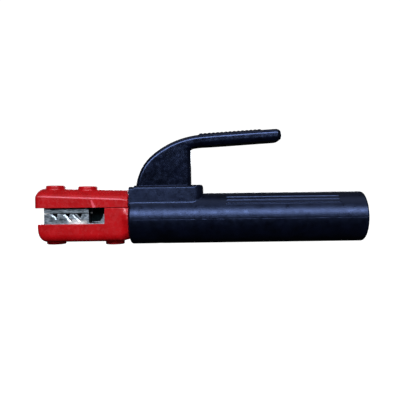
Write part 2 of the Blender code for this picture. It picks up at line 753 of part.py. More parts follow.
def upper_shell():
    slope = (UPPER_TOP_REAR - UPPER_TOP_FRONT) / (UPPER_REAR - UPPER_FRONT)
    edge_slope = (UPPER_EDGE_REAR - UPPER_EDGE_FRONT) / (UPPER_REAR - UPPER_FRONT)
    sections = []
    for distance in (*FRONT_STEPS, UPPER_FRONT_ROUND):
        x = UPPER_FRONT + distance
        fall = round_drop(UPPER_FRONT_ROUND, distance)
        half = SHELL_HALF_WIDTH - round_drop(PLAN_ROUND, distance)
        top = UPPER_TOP_FRONT + slope * distance - fall
        edge = UPPER_EDGE_FRONT + edge_slope * distance - UPPER_EDGE_FALL * fall
        sections.append(upper_section(x, half, edge, top))
    for share in (0, 0.5, 1):
        x = UPPER_REAR - FLARE_LENGTH * (1 - share)
        top = UPPER_TOP_FRONT + slope * (x - UPPER_FRONT)
        edge = UPPER_EDGE_FRONT + edge_slope * (x - UPPER_FRONT) - UPPER_EDGE_REAR_DROP * share**2
        sections.append(upper_section(x, SHELL_HALF_WIDTH, edge, top))
    return loft(sections)


def collar(x, rim, up):
    """A round collar with its rim towards up (1) or down (-1)."""
    z = sorted((rim, rim - up * COLLAR_LENGTH))
    return upright(x, z, COLLAR_RADIUS, sides=40, end_round=COLLAR_ROUND)


def cut_screw_seat(shell, x, rim, up):
    recess = sorted((rim + up * PAST, rim - up * COLLAR_RECESS))
    hole = sorted((rim - up * (COLLAR_RECESS - PAST), rim - up * SCREW_HOLE_DEPTH))
    cut(shell, upright(x, recess, COLLAR_BORE), upright(x, hole, SCREW_SHANK_RADIUS + GAP, sides=24))


def make_lower_insulator():
    shell = part("lower_jaw_insulator", lower_shell(), RED)
    for x, rim in LOWER_COLLARS.values():
        add(shell, collar(x, rim, -1))
    passage = NECK_HALF_WIDTH + GAP
    cut(
        shell,
        slab((LOWER_FRONT - PAST, THROAT_REAR), 2 * SHELL_HALF_WIDTH, (LOWER_SLOT_Z, LOWER_TOP + PAST)),
        slab((CAVITY_FRONT, BULKHEAD_X), CAVITY_HALF_WIDTH, (LOWER_JAW_BOTTOM - GAP, LOWER_TOP + PAST)),
        slab((BULKHEAD_X - PAST, LOWER_REAR + PAST), passage, (NECK_BOTTOM - GAP, LOWER_TOP + PAST)),
    )
    for x, rim in LOWER_COLLARS.values():
        cut_screw_seat(shell, x, rim, -1)


def make_upper_insulator():
    shell = part("upper_jaw_insulator", upper_shell(), RED)
    for x, rim in UPPER_COLLARS.values():
        add(shell, collar(x, rim, 1))
    tongue_x = (UPPER_REAR - PAST, UPPER_TONGUE_REAR)
    add(shell, slab(tongue_x, UPPER_TONGUE_HALF_WIDTH, (UPPER_BOTTOM, UPPER_TONGUE_TOP)))
    inside = (UPPER_BOTTOM - PAST, UPPER_JAW_TOP + GAP)
    passage_x = (BULKHEAD_X - PAST, UPPER_TONGUE_REAR + PAST)
    cut(
        shell,
        slab((CAVITY_FRONT, BULKHEAD_X), CAVITY_HALF_WIDTH, inside),
        slab(passage_x, EYE_HALF_WIDTH + GAP, inside),
    )
    for x, rim in UPPER_COLLARS.values():
        cut_screw_seat(shell, x, rim, 1)
    return shell


def make_insulator_screw(name, x, rim, up):
    top = rim - up * SCREW_SUNK
    under_head = top - up * SCREW_HEAD_HEIGHT
    tip = top - up * SCREW_LENGTH
    screw = part(name, upright(x, sorted((top, under_head)), SCREW_HEAD_RADIUS), STEEL)
    add(screw, upright(x, sorted((under_head + up * PAST, tip)), SCREW_SHANK_RADIUS, sides=24))
    low, high = sorted((top + up * PAST, top - up * SCREW_SLOT_DEPTH))
    cut(
        screw,
        box(
            (x - SCREW_SLOT_HALF_WIDTH, -COLLAR_BORE, low),
            (x + SCREW_SLOT_HALF_WIDTH, COLLAR_BORE, high),
        ),
    )
    return screw


# ---- Lever: the upper casting and the thumb lever on its blade


def make_upper_casting():
    jaw = slab((JAW_FRONT, JAW_REAR), JAW_HALF_WIDTH, (JAW_MEET_HIGH, UPPER_JAW_TOP))
    casting = part("upper_jaw_lever", jaw, PLATED)
    blade = fillet(
        [
            (PIVOT.x, BLADE_BOTTOM, 0),
            (PIVOT.x, BLADE_TOP, BLADE_FRONT_CORNER),
            (BLADE_REAR, BLADE_TOP, BLADE_REAR_CORNER),
            (BLADE_REAR, BLADE_BOTTOM, 0),
        ]
    )
    add(
        casting,
        slab((JAW_REAR - PAST, PIVOT.x), EYE_HALF_WIDTH, (BAR_BOTTOM, UPPER_JAW_TOP)),
        crosswise(PIVOT.x, (-EYE_HALF_WIDTH, EYE_HALF_WIDTH), PIVOT.z, EYE_RADIUS),
        slab((PIVOT.x, TANG_REAR), EYE_HALF_WIDTH, (TANG_BOTTOM, TANG_TOP)),
        plate(blade, BLADE_HALF_WIDTH),
        slab((TANG_REAR - PAST, FOOT_REAR), FOOT_HALF_WIDTH, (BLADE_BOTTOM, FOOT_TOP)),
    )
    for x, rim in UPPER_COLLARS.values():
        bottom = rim - SCREW_SUNK - SCREW_LENGTH - 2 * GAP
        cut(casting, upright(x, (bottom, UPPER_JAW_TOP + PAST), SCREW_SHANK_RADIUS + GAP, sides=24))
    cut(casting, crosswise(PIVOT.x, (-JAW_HALF_WIDTH, JAW_HALF_WIDTH), PIVOT.z, PIN_BORE))
    cut_cross_pin_holes(casting)
    return casting


def cut_cross_pin_holes(thing):
    for x, z in CROSS_PINS.values():
        cut(thing, crosswise(x, (-JAW_HALF_WIDTH, JAW_HALF_WIDTH), z, CROSS_PIN_RADIUS + GAP, sides=20))


def heading_vector(degrees):
    return Vector((math.cos(math.radians(degrees)), math.sin(math.radians(degrees))))


def outward(degrees):
    return Vector((-math.sin(math.radians(degrees)), math.cos(math.radians(degrees))))


def lever_path(inset, steps=8):
    """(point, heading, distance run) along the lever's arcs, some way in from its outer side."""
    heading = LEVER_START_HEADING
    point = LEVER_START - outward(heading) * inset
    run = 0.0
    path = [(point, heading, run)]
    for radius, end_heading in LEVER_ARCS:
        centre = point - outward(heading) * (radius - inset)
        for k in range(1, steps + 1):
            turned_to = heading + (end_heading - heading) * k / steps
            point = centre + outward(turned_to) * (radius - inset)
            path.append((point, turned_to, run + radius * math.radians(heading - turned_to)))
        heading = end_heading
        run = path[-1][2]
    return path


def lever_section(point, heading, half_width, half_height):
    """A rounded oblong section across the lever."""
    radius = min(LEVER_EDGE_ROUND, 0.9 * half_height, 0.9 * half_width)
    corners = ((1, 1), (-1, 1), (-1, -1), (1, -1))
    section = []
    for across, out in fillet([(half_width * a, half_height * b, radius) for a, b in corners], steps=5):
        x, z = point + outward(heading) * out
        section.append((x, across, z))
    return section


def thumb_bar():
    half_height = LEVER_THICKNESS / 2
    path = [(point, heading) for point, heading, _ in lever_path(half_height)]
    start, heading = path[-1]
    along = heading_vector(heading)
    straight = (LEVER_TIP - start.x) / along.x - LEVER_END_LENGTH
    path += [(start + along * straight * share, heading) for share in (0.1, 0.2, 0.3)]
    sections = []
    for point, turned_to in path:
        share = min(max((point.x - LEVER_WIDENS[0]) / (LEVER_WIDENS[1] - LEVER_WIDENS[0]), 0), 1)
        half_width = LEVER_ROOT_HALF_WIDTH + (LEVER_HALF_WIDTH - LEVER_ROOT_HALF_WIDTH) * share
        sections.append(lever_section(point, turned_to, half_width, half_height))
    for u in (0, 0.35, 0.65, 0.87, 0.98):
        thin = math.sqrt(1 - u**2)
        narrow = (1 - u**3) ** (1 / 3)
        point = start + along * (straight + u * LEVER_END_LENGTH)
        sections.append(lever_section(point, heading, LEVER_HALF_WIDTH * narrow, half_height * thin))
    return loft(sections)


def fin():
    """The web between the bar and the saddle, with a skirt that goes down beside the blade."""
    middle = [point for point, _, _ in lever_path(LEVER_THICKNESS / 2)]
    spine = [(point.x, point.y) for point in middle if point.x < FIN_REAR]
    outline = [
        (SKIRT_FRONT, SKIRT_BOTTOM),
        (FIN_REAR, SKIRT_BOTTOM),
        (FIN_REAR, spine[-1][1]),
        *reversed(spine),
        (SKIRT_FRONT, LEVER_START.y),
    ]
    return plate(outline, FIN_HALF_WIDTH, FIN_REAR, FIN_EDGE_ROUND)


def on_bar(low_x, high_x, height, half_width):
    """A block on the straight bar's outer side, between two x."""
    start, heading, _ = lever_path(0)[-1]
    along = heading_vector(heading)
    distance = ((low_x + high_x) / 2 - start.x) / along.x
    middle = start + along * distance + outward(heading) * (height - RIDGE_DEPTH / 2)
    half = Vector(((high_x - low_x) / 2, half_width, RIDGE_DEPTH / 2))
    thing = box(-half, half)
    thing.location = (middle.x, 0, middle.y)
    thing.rotation_euler = (0, -math.radians(heading), 0)
    return thing


def make_thumb_lever():
    lever = part("thumb_lever", thumb_bar(), BLACK)
    add(lever, fin())
    add(lever, on_bar(*GRIP, GRIP_HEIGHT, GRIP_HALF_WIDTH))
    pitch = (GRIP[1] - GRIP[0]) / RIDGE_COUNT
    for index in range(RIDGE_COUNT):
        low_x = GRIP[0] + index * pitch + (pitch - RIDGE_LENGTH) / 2
        add(lever, on_bar(low_x, low_x + RIDGE_LENGTH, RIDGE_HEIGHT, GRIP_HALF_WIDTH - GAP))
    front, rear = PIVOT.x - GAP, BLADE_REAR + GAP
    pocket = fillet(
        [
            (front, SKIRT_BOTTOM - PAST, 0),
            (front, BLADE_TOP + GAP, BLADE_FRONT_CORNER),
            (rear, BLADE_TOP + GAP, BLADE_REAR_CORNER),
            (rear, SKIRT_BOTTOM - PAST, 0),
        ]
    )
    cut(lever, plate(pocket, BLADE_HALF_WIDTH + GAP))
    cut_cross_pin_holes(lever)
    return lever


def make_cross_pins():
    ends = (-CROSS_PIN_HALF_LENGTH, CROSS_PIN_HALF_LENGTH)
    return [
        part(f"lever_pin_{place}", crosswise(x, ends, z, CROSS_PIN_RADIUS, sides=20), STEEL)
        for place, (x, z) in CROSS_PINS.items()
    ]


def hang_on_pivot(pieces):
    """Parents the moving pieces to an empty on the pivot's axis."""
    pivot = bpy.data.objects.new("lever_pivot", None)
    pivot.location = PIVOT
    bpy.data.collections["electrode_holder"].objects.link(pivot)
    for piece in pieces:
        piece.parent = pivot
        piece.location -= PIVOT


def main():
    clear_scene()
    new_collection("electrode_holder")
    new_collection("cutters")
    make_handle()
    make_handle_fixing_screw()
    make_lower_jaw_body()
    make_cable_clamp()
    make_pivot()
    make_lower_insulator()
    for place, (x, rim) in LOWER_COLLARS.items():
        make_insulator_screw(f"lower_insulator_screw_{place}", x, rim, -1)
    moving = [make_spring(), make_upper_insulator(), make_upper_casting(), make_thumb_lever()]
    for place, (x, rim) in UPPER_COLLARS.items():
        moving.append(make_insulator_screw(f"upper_insulator_screw_{place}", x, rim, 1))
    moving += make_cross_pins()
    hang_on_pivot(moving)


main()
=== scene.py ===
"""Looks of the electrode holder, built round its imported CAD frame.

Lengths in the code are in millimetres, in the frame's axes: +X from the jaws to the cable end,
+Z up. helper() turns them into metres as it makes each mesh.
"""

import json
import math

import bmesh
import bpy
import numpy as np
from mathutils import Matrix, Vector, noise


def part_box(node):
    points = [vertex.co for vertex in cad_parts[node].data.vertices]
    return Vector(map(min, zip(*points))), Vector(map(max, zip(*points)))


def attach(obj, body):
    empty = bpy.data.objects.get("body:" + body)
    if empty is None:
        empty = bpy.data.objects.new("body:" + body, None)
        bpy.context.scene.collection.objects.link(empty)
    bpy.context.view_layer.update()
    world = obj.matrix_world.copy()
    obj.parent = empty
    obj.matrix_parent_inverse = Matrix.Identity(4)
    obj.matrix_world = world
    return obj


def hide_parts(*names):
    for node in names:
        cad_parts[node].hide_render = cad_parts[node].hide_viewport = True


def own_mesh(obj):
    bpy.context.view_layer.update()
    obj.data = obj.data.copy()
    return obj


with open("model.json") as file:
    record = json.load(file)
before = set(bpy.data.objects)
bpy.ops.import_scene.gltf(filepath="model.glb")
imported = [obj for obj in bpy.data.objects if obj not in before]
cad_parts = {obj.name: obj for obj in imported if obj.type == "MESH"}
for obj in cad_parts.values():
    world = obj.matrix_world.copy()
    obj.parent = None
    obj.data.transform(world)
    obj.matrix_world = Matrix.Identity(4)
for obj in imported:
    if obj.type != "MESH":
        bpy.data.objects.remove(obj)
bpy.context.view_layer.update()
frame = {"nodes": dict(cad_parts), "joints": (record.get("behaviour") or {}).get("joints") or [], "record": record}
NODES = frame["nodes"]
MM = 0.001
PAST = 1.0
GAP = 0.3


def node_box(name):
    low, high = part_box(name)
    return low / MM, high / MM


HANDLE_LOW, HANDLE_HIGH = node_box("handle")
PIVOT = Vector(frame["joints"][0]["pos_m"]) / MM

# Handle
HANDLE_FRONT = HANDLE_LOW.x
HANDLE_REAR = HANDLE_HIGH.x
HANDLE_RADIUS = HANDLE_HIGH.y
HANDLE_REAR_RADIUS = 18.5
AXIS_Z = HANDLE_RADIUS
HANDLE_BORE = 15.6
HANDLE_REAR_BORE = 15.3
FRONT_ROUND = 1.8
REAR_ROUND = 1.2
LAND = (36, 41)
LAND_RADIUS = 11.5
RIB_X = (18, 101)
RIB_ANGLES = (34, 44, 54)
RIB_HEIGHT = 0.55
RIB_HALF_WIDTH = 0.95
RIB_RUN_OUT = 1.2
SEAM_DEPTH = 0.1
SEAM_HALF_WIDTH = 0.28
SEAM_PATCH = 4
SEAM_START = (-51, -49)
HANDLE_INNER_ROUND = 0.8
FIXING_X = -30
FIXING_BOSS_RADIUS = 6
FIXING_BOSS_TOP = 4.6
FIXING_RECESS = 2.6
FIXING_HEAD_HOLE = 3.7
FIXING_SHANK_HOLE = 2.2

# Where the handle's skin has its points: (start, end, count) along it, and (start, end, step) in
# degrees from its top
HANDLE_SPANS = (
    (-50.0, -49.2, 5),
    (-49.0, -47.9, 9),
    (-47.5, -8.0, 21),
    (-7.6, -3.0, 14),
    (-2.6, 4.0, 44),
    (4.4, 17.6, 8),
    (18.0, 19.4, 7),
    (20.5, 99.0, 42),
    (99.6, 101.2, 7),
    (102.0, 118.2, 9),
)
HANDLE_FANS = (
    (0.8, 13.5, 2.2),
    (14, 62, 0.45),
    (62, 86, 2),
    (86.5, 93.6, 0.35),
    (95, 180, 2.5),
)
HANDLE_HALVINGS = 28

# Saddle box on the handle
BOX_REAR = 2
BOX_HALF_WIDTH = 14.5
BOX_FOOT_Z = 30.2
BOX_DRAFT = 0.025
BOX_TOP = HANDLE_HIGH.z
BOX_LIP_DROP = 1.0
BOX_LIP_LENGTH = 3.2
BOX_LIP_STEP = 0.7
BOX_CROWN_WIDTH = 6
BOX_CROWN_DROP = 2.6
BOX_REAR_ROUND = 2.4
BOX_SIDE_ROUND = 9
BOX_TOP_ROUND = 0.5
BOX_FOOT_FILLET = 0.55
BOX_ROOF = 40.3
BOX_INNER_HALF_WIDTH = 11.5
BOX_INNER_REAR = -2.6
SLOT_HALF_WIDTH = 8.2
SLOT_EDGE_ROUND = 0.7

# Jaw insulators
SHELL_HALF_WIDTH = 15
PLAN_ROUND = 3.5
CAVITY_HALF_WIDTH = 12.3
CAVITY_FRONT = -114.0
BULKHEAD_X = -57
UPPER_FRONT, UPPER_REAR = -120, -54.0
REAR_LEAN = 0.23
REAR_LEAN_END = 1.4
UPPER_BOTTOM = 27.45
UPPER_EDGE = (36.4, 33.3)
UPPER_EDGE_REAR_DROP = 0.5
UPPER_TOP = (42.2, 40.1)
UPPER_FRONT_ROUND = 3.6
UPPER_EDGE_ROUND = 1.5
UPPER_INSIDE_TOP = 34.8
TONGUE_REAR = -50.5
TONGUE_HALF_WIDTH = 11
TONGUE_TOP = 36.85
EYE_SLOT_HALF_WIDTH = 6.9
LOWER_FRONT, LOWER_REAR = -118.3, -52.3
LOWER_BOTTOM = 2.8
LOWER_TOP = 27.2
LOWER_SLOT_Z = 15.8
JAW_REAR = -81.2
JAWS_MEET = 23.35
THROAT_REAR = -69.5
THROAT_HALF_WIDTH = 12
THROAT_FLOOR = 16.3
THROAT_WALL = -70.8
THROAT_FILLET = 6.5
SHELL_VOXEL, SHELL_ROUNDS, SHELL_KEEP = 0.3, 3, 0.5
CASTING_VOXEL, CASTING_ROUNDS = 0.3, 1
LOWER_CASTING_KEEP, UPPER_CASTING_KEEP = 0.35, 0.5
LOWER_INSIDE_BOTTOM = 7.3
NECK_BOTTOM = 8.3
NECK_HALF_WIDTH = 10.3
LOWER_FRONT_ROUND = 7
LOWER_EDGE_ROUND = 5.5
FLARE_LENGTH = 6
FLARE_RADIUS = 17
UPPER_COLLARS = {"front": (-108.7, 44.1), "rear": (-84.6, 43.25)}
LOWER_COLLARS = {"front": (-108.5, 0.5), "rear": (-64.5, 0.0)}
COLLAR_RADIUS = 7
COLLAR_LENGTH = 5.5
COLLAR_ROUND = 0.7
COLLAR_BORE = 4.75
COLLAR_RECESS = 4.6
SCREW_HOLE_RADIUS = 2.7
SCREW_HOLE_DEPTH = 13.8
SCREW_SUNK = 1.6
SCREW_HEAD_RADIUS = 4.4
SCREW_HEAD_HEIGHT = 2.7
SCREW_SHANK_RADIUS = 2.4
SCREW_LENGTH = 14.4
SCREW_END_CHAMFER = 0.5
SCREW_HEAD_CHAMFER = 0.2
SCREW_DOME = 0.75
SCREW_SLOT_DEPTH = 1.1
SCREW_SLOT_HALF_WIDTH = 0.6

# Painted shade, darkening and a painted highlight on the castings, and a painted highlight and a pale wedge on the
# upper insulator: a pair is the span where one comes or goes
# Painted shade in the throat, behind the jaws
THROAT_SHADE_FRONT = (JAW_REAR - 0.4, JAW_REAR + 0.2)
THROAT_SHADE_REAR = (THROAT_REAR, THROAT_REAR + 0.5)
THROAT_SHADE_OFF_FLOOR = (0.3, 0.7)
# Painted shade on the upper jaw under its insulator's overhang, deeper at its root
UPPER_JAW_SHADE, UPPER_ROOT_SHADE, UPPER_ROOT_Z = 0.38, 0.3, (26, 27.4)
# Darkening towards the top of the lower jaw and at its lower front tip
LOWER_JAW_DARKENING, LOWER_JAW_DARKENING_Z = 0.25, (18.5, 22.5)
TIP_DARKENING, TIP_DARKENING_X, TIP_DARKENING_Z = 0.3, (-104, -96), (20.5, 22)
# Painted highlight low on the lower jaw's side, its top edge falling towards the rear
JAW_HIGHLIGHT_FRONT, JAW_HIGHLIGHT_REAR = (-97, -94), (-83.5, -81.8)
JAW_HIGHLIGHT_Z = (18.6, 20.4)
JAW_HIGHLIGHT_FALL = 0.35 / 4
# Pale wedge on the upper insulator's near side
WEDGE_TOP = Vector((-78.7, 33.3))
WEDGE_LEAN = 2.1
WEDGE_HALF_WIDTH = 0.95
WEDGE_EDGE = (0.15, 0.55)
# Painted highlight along the upper insulator's upper edge
EDGE_HIGHLIGHT = 0.75
EDGE_HIGHLIGHT_HALF_WIDTH = 0.5
EDGE_HIGHLIGHT_INSIDE = 12
EDGE_HIGHLIGHT_FRONT, EDGE_HIGHLIGHT_REAR = (-117, -112), (-58.5, -56)

# Thumb lever: arcs of (radius, heading at the end in degrees) along its outer side
LEVER_START = Vector((-47.9, 40.5))
LEVER_START_HEADING = 88.5
LEVER_ARCS = ((34, 40.8), (62.6, 3.4))
LEVER_TIP = 60.5
LEVER_THICKNESS = 8.9
LEVER_HALF_WIDTH = 9.5
LEVER_ROOT_HALF_WIDTH = 7
LEVER_WIDENS = (-9, 16)
LEVER_END_LENGTH = 5.5
LEVER_EDGE_ROUND = 3.2
LEVER_VOXEL, LEVER_ROUNDS, LEVER_KEEP = 0.36, 2, 0.6
FIN_REAR = -6.9
FIN_HALF_WIDTH = 7
FIN_EDGE_ROUND = 4.6
FIN_FILLET = 1.3
SKIRT_FRONT = -31
SKIRT_BOTTOM = 35.3
GRIP = (-0.8, 45.4)
GRIP_HALF_WIDTH = 5.5
GRIP_HEIGHT = 0.5
RIDGE_COUNT = 15
RIDGE_LENGTH = 1.8
RIDGE_HEIGHT = 0.93
RIDGE_DEPTH = 2
BLADE_REAR = -12
BLADE_TOP = 60
BLADE_HALF_WIDTH = 3.2
CROSS_PIN_X = (-27, -15)
CROSS_PIN_Z = 38.6
CROSS_PIN_HOLE = 1.8

# Spring
SPRING_X = -18
SPRING_BOTTOM, SPRING_TOP = 13.8, 30.6
SPRING_WIRE_RADIUS = 0.9
SPRING_MEAN_RADIUS = 4.6
SPRING_TURNS = 5
SPRING_END_TURNS = 0.75
SPRING_END_PITCH = 2
SPRING_TURN_STEPS = 36
SPRING_SIDES = 14

# Shading: the angle in degrees from which an edge is sharp, and the bevel of the CAD's own nodes
SHARP_ANGLE = 38
SCREW_SHARP_ANGLE = 30
BEVEL_ANGLE = 40
BEVEL_WIDTH = 0.15


# ---- Mesh helpers


def helper(name, shape):
    """Makes an object in metres from a bmesh in millimetres."""
    bmesh.ops.scale(shape, vec=(MM, MM, MM), verts=shape.verts)
    bmesh.ops.recalc_face_normals(shape, faces=shape.faces)
    mesh = bpy.data.meshes.new(name)
    shape.to_mesh(mesh)
    shape.free()
    thing = bpy.data.objects.new(name, mesh)
    bpy.context.scene.collection.objects.link(thing)
    return thing


def settled(thing, name):
    """Replaces an object by one with its modifiers and its place taken into the mesh."""
    bpy.context.view_layer.update()
    graph = bpy.context.evaluated_depsgraph_get()
    mesh = bpy.data.meshes.new_from_object(thing.evaluated_get(graph))
    mesh.transform(thing.matrix_world)
    mesh.name = name
    bpy.data.objects.remove(thing, do_unlink=True)
    piece = bpy.data.objects.new(name, mesh)
    bpy.context.scene.collection.objects.link(piece)
    return piece


def combine(name, base, steps):
    """The base with (operation, shape) steps applied to it. The shapes are used up."""
    for operation, shape in steps:
        modifier = base.modifiers.new(operation, "BOOLEAN")
        modifier.operation = operation
        modifier.solver = "EXACT"
        modifier.object = shape
    piece = settled(base, name)
    for _, shape in steps:
        bpy.data.objects.remove(shape, do_unlink=True)
    return piece


def adding(*shapes):
    return [("UNION", shape) for shape in shapes]


def cutting(*shapes):
    return [("DIFFERENCE", shape) for shape in shapes]


def softened(piece, voxel, rounds, keep=1.0):
    """A remeshed and smoothed piece with rounder edges, thinned to the share of faces to keep."""
    name = piece.name
    remesh = piece.modifiers.new("remesh", "REMESH")
    remesh.mode = "VOXEL"
    remesh.voxel_size = voxel * MM
    smooth = piece.modifiers.new("smooth", "SMOOTH")
    smooth.factor = 0.5
    smooth.iterations = rounds
    if keep < 1:
        thin = piece.modifiers.new("thin", "DECIMATE")
        thin.ratio = keep
    piece.name = name + "_raw"
    return settled(piece, name)


def box(low, high, bevel=0.0):
    low, high = Vector(low), Vector(high)
    shape = bmesh.new()
    bmesh.ops.create_cube(shape, size=1)
    bmesh.ops.scale(shape, vec=high - low, verts=shape.verts)
    bmesh.ops.translate(shape, vec=(low + high) / 2, verts=shape.verts)
    if bevel:
        bmesh.ops.bevel(
            shape, geom=shape.edges[:], offset=bevel, segments=3, profile=0.5, affect="EDGES"
        )
    return helper("box", shape)


def slab(x, half_width, z):
    return box((x[0], -half_width, z[0]), (x[1], half_width, z[1]))


def turned(profile, centre, along, steps=96):
    """A closed solid of revolution through (radius, height) points, from axis to axis."""
    shape = bmesh.new()
    turn = Vector((0, 0, 1)).rotation_difference(Vector(along)).to_matrix()
    centre = Vector(centre)
    rings = []
    for radius, height in profile[1:-1]:
        ring = []
        for k in range(steps):
            angle = 2 * math.pi * k / steps
            point = Vector((radius * math.cos(angle), radius * math.sin(angle), height))
            ring.append(shape.verts.new(centre + turn @ point))
        rings.append(ring)
    join_rings(shape, rings)
    for ring, (_, height) in ((rings[0], profile[0]), (rings[-1], profile[-1])):
        tip = shape.verts.new(centre + turn @ Vector((0, 0, height)))
        for k, vertex in enumerate(ring):
            shape.faces.new((ring[k - 1], vertex, tip))
    return helper("turned", shape)


def rod(centre, along, radius, span, steps=64):
    low, high = span
    return turned([(0, low), (radius, low), (radius, high), (0, high)], centre, along, steps)


def upright(x, z, radius):
    return rod((x, 0, 0), (0, 0, 1), radius, z)


def join_rings(shape, rings):
    for ring, following in zip(rings, rings[1:]):
        for i, vertex in enumerate(ring):
            shape.faces.new((ring[i - 1], vertex, following[i], following[i - 1]))


def loft(sections):
    """A closed skin over rings of points, with a flat face at each end."""
    shape = bmesh.new()
    rings = [[shape.verts.new(point) for point in section] for section in sections]
    join_rings(shape, rings)
    shape.faces.new(rings[0])
    shape.faces.new(rings[-1])
    return helper("loft", shape)


def plate(outline, half_width):
    """A plate with an outline of (x, z) points, half a width to each side of the middle plane."""
    return loft([[(x, y, z) for x, z in outline] for y in (-half_width, half_width)])


def fillet(corners, steps):
    """The outline through (a, b, radius) corners, where a corner with a radius becomes an arc."""
    outline = []
    for i, (a, b, radius) in enumerate(corners):
        corner = Vector((a, b))
        if not radius:
            outline.append(corner)
            continue
        before = (Vector(corners[i - 1][:2]) - corner).normalized()
        after = (Vector(corners[(i + 1) % len(corners)][:2]) - corner).normalized()
        half = before.angle(after) / 2
        centre = corner + (before + after).normalized() * (radius / math.sin(half))
        spoke = corner + before * (radius / math.tan(half)) - centre
        sweep = math.copysign(math.pi - 2 * half, before.x * after.y - before.y * after.x)
        outline += [
            centre + Matrix.Rotation(-sweep * k / steps, 2) @ spoke for k in range(steps + 1)
        ]
    return outline


def round_drop(radius, distance):
    """How far a rounded corner has fallen away, at a distance in from its end."""
    if distance >= radius:
        return 0.0
    return radius - math.sqrt(radius**2 - (radius - distance) ** 2)


def round_steps(radius, count=9):
    """Distances in from an end, closer together near it."""
    return [radius * (1 - math.cos(math.pi / 2 * k / count)) for k in range(count + 1)]


# ---- Handle


def rounded_max(a, b, radius):
    """The larger of two distances, with a round of that radius where they cross."""
    a, b = a + radius, b + radius
    corner = np.hypot(np.maximum(a, 0), np.maximum(b, 0))
    return np.minimum(np.maximum(a, b), 0) + corner - radius


def ease(value, low, high):
    share = np.clip((value - low) / (high - low), 0, 1)
    return share * share * (3 - 2 * share)


def handle_distance(x, y, z):
    """Roughly the distance of points outside the handle's tube and saddle box."""
    share = (x - HANDLE_FRONT) / (HANDLE_REAR - HANDLE_FRONT)
    radius = HANDLE_RADIUS + (HANDLE_REAR_RADIUS - HANDLE_RADIUS) * share
    for end, depth in ((x - HANDLE_FRONT, FRONT_ROUND), (HANDLE_REAR - x, REAR_ROUND)):
        inside = np.clip(depth - end, 0, depth)
        radius = radius - (depth - np.sqrt(depth**2 - inside**2))
    tube = np.hypot(y, z - AXIS_Z) - radius
    out = np.clip((np.abs(y) - (BOX_HALF_WIDTH - BOX_CROWN_WIDTH)) / BOX_CROWN_WIDTH, 0, 1)
    crown = BOX_CROWN_DROP * (1 - np.sqrt(1 - out**2))
    lip_end = HANDLE_FRONT + BOX_LIP_LENGTH
    lip = BOX_LIP_DROP * (1 - ease(x, lip_end, lip_end + BOX_LIP_STEP))
    top = z - (BOX_TOP - lip - crown)
    side = np.abs(y) - BOX_HALF_WIDTH + BOX_DRAFT * np.maximum(z - BOX_FOOT_Z, 0)
    walls = rounded_max(side, x - BOX_REAR, BOX_SIDE_ROUND)
    saddle = rounded_max(walls, top, BOX_TOP_ROUND)
    saddle = np.maximum(saddle, rounded_max(x - BOX_REAR, top, BOX_REAR_ROUND))
    saddle = np.maximum(saddle, AXIS_Z - z)
    return -rounded_max(-tube, -saddle, BOX_FOOT_FILLET)


def handle_relief(x, angle, radius):
    """Height of the ribs, less the depth of the uneven mould seam."""
    start, end = RIB_X
    along = ease(x, start, start + RIB_RUN_OUT) * (1 - ease(x, end - RIB_RUN_OUT, end))
    relief = np.zeros_like(radius)
    for degrees in RIB_ANGLES:
        off = np.abs(np.abs(angle) - math.radians(degrees)) * radius
        across = np.cos(np.pi / 2 * np.minimum(off / RIB_HALF_WIDTH, 1)) ** 2
        relief += RIB_HEIGHT * along * across
    off = np.abs(np.abs(angle) - math.pi / 2) * radius
    uneven = np.array([0.5 + noise.noise((at / SEAM_PATCH, 0, 0)) for at in x[:, 0]])[:, None]
    seam = SEAM_DEPTH * uneven * np.exp(-((off / SEAM_HALF_WIDTH) ** 2))
    return relief - seam * ease(x, *SEAM_START)


def handle_stations():
    """Positions along the handle, close together where its shape changes quickly."""
    stations = [HANDLE_FRONT + d for d in round_steps(FRONT_ROUND)]
    stations += [HANDLE_REAR - d for d in round_steps(REAR_ROUND, 6)]
    for low, high, count in HANDLE_SPANS:
        stations += list(np.linspace(low, high, count))
    return np.array(sorted(stations))


def handle_angles():
    """Angles from the top, close together at the ribs, the box's corners and the mould seam."""
    half = [angle for fan in HANDLE_FANS for angle in np.arange(*fan)]
    return np.radians(np.array([*half, *[-a for a in reversed(half)]]))


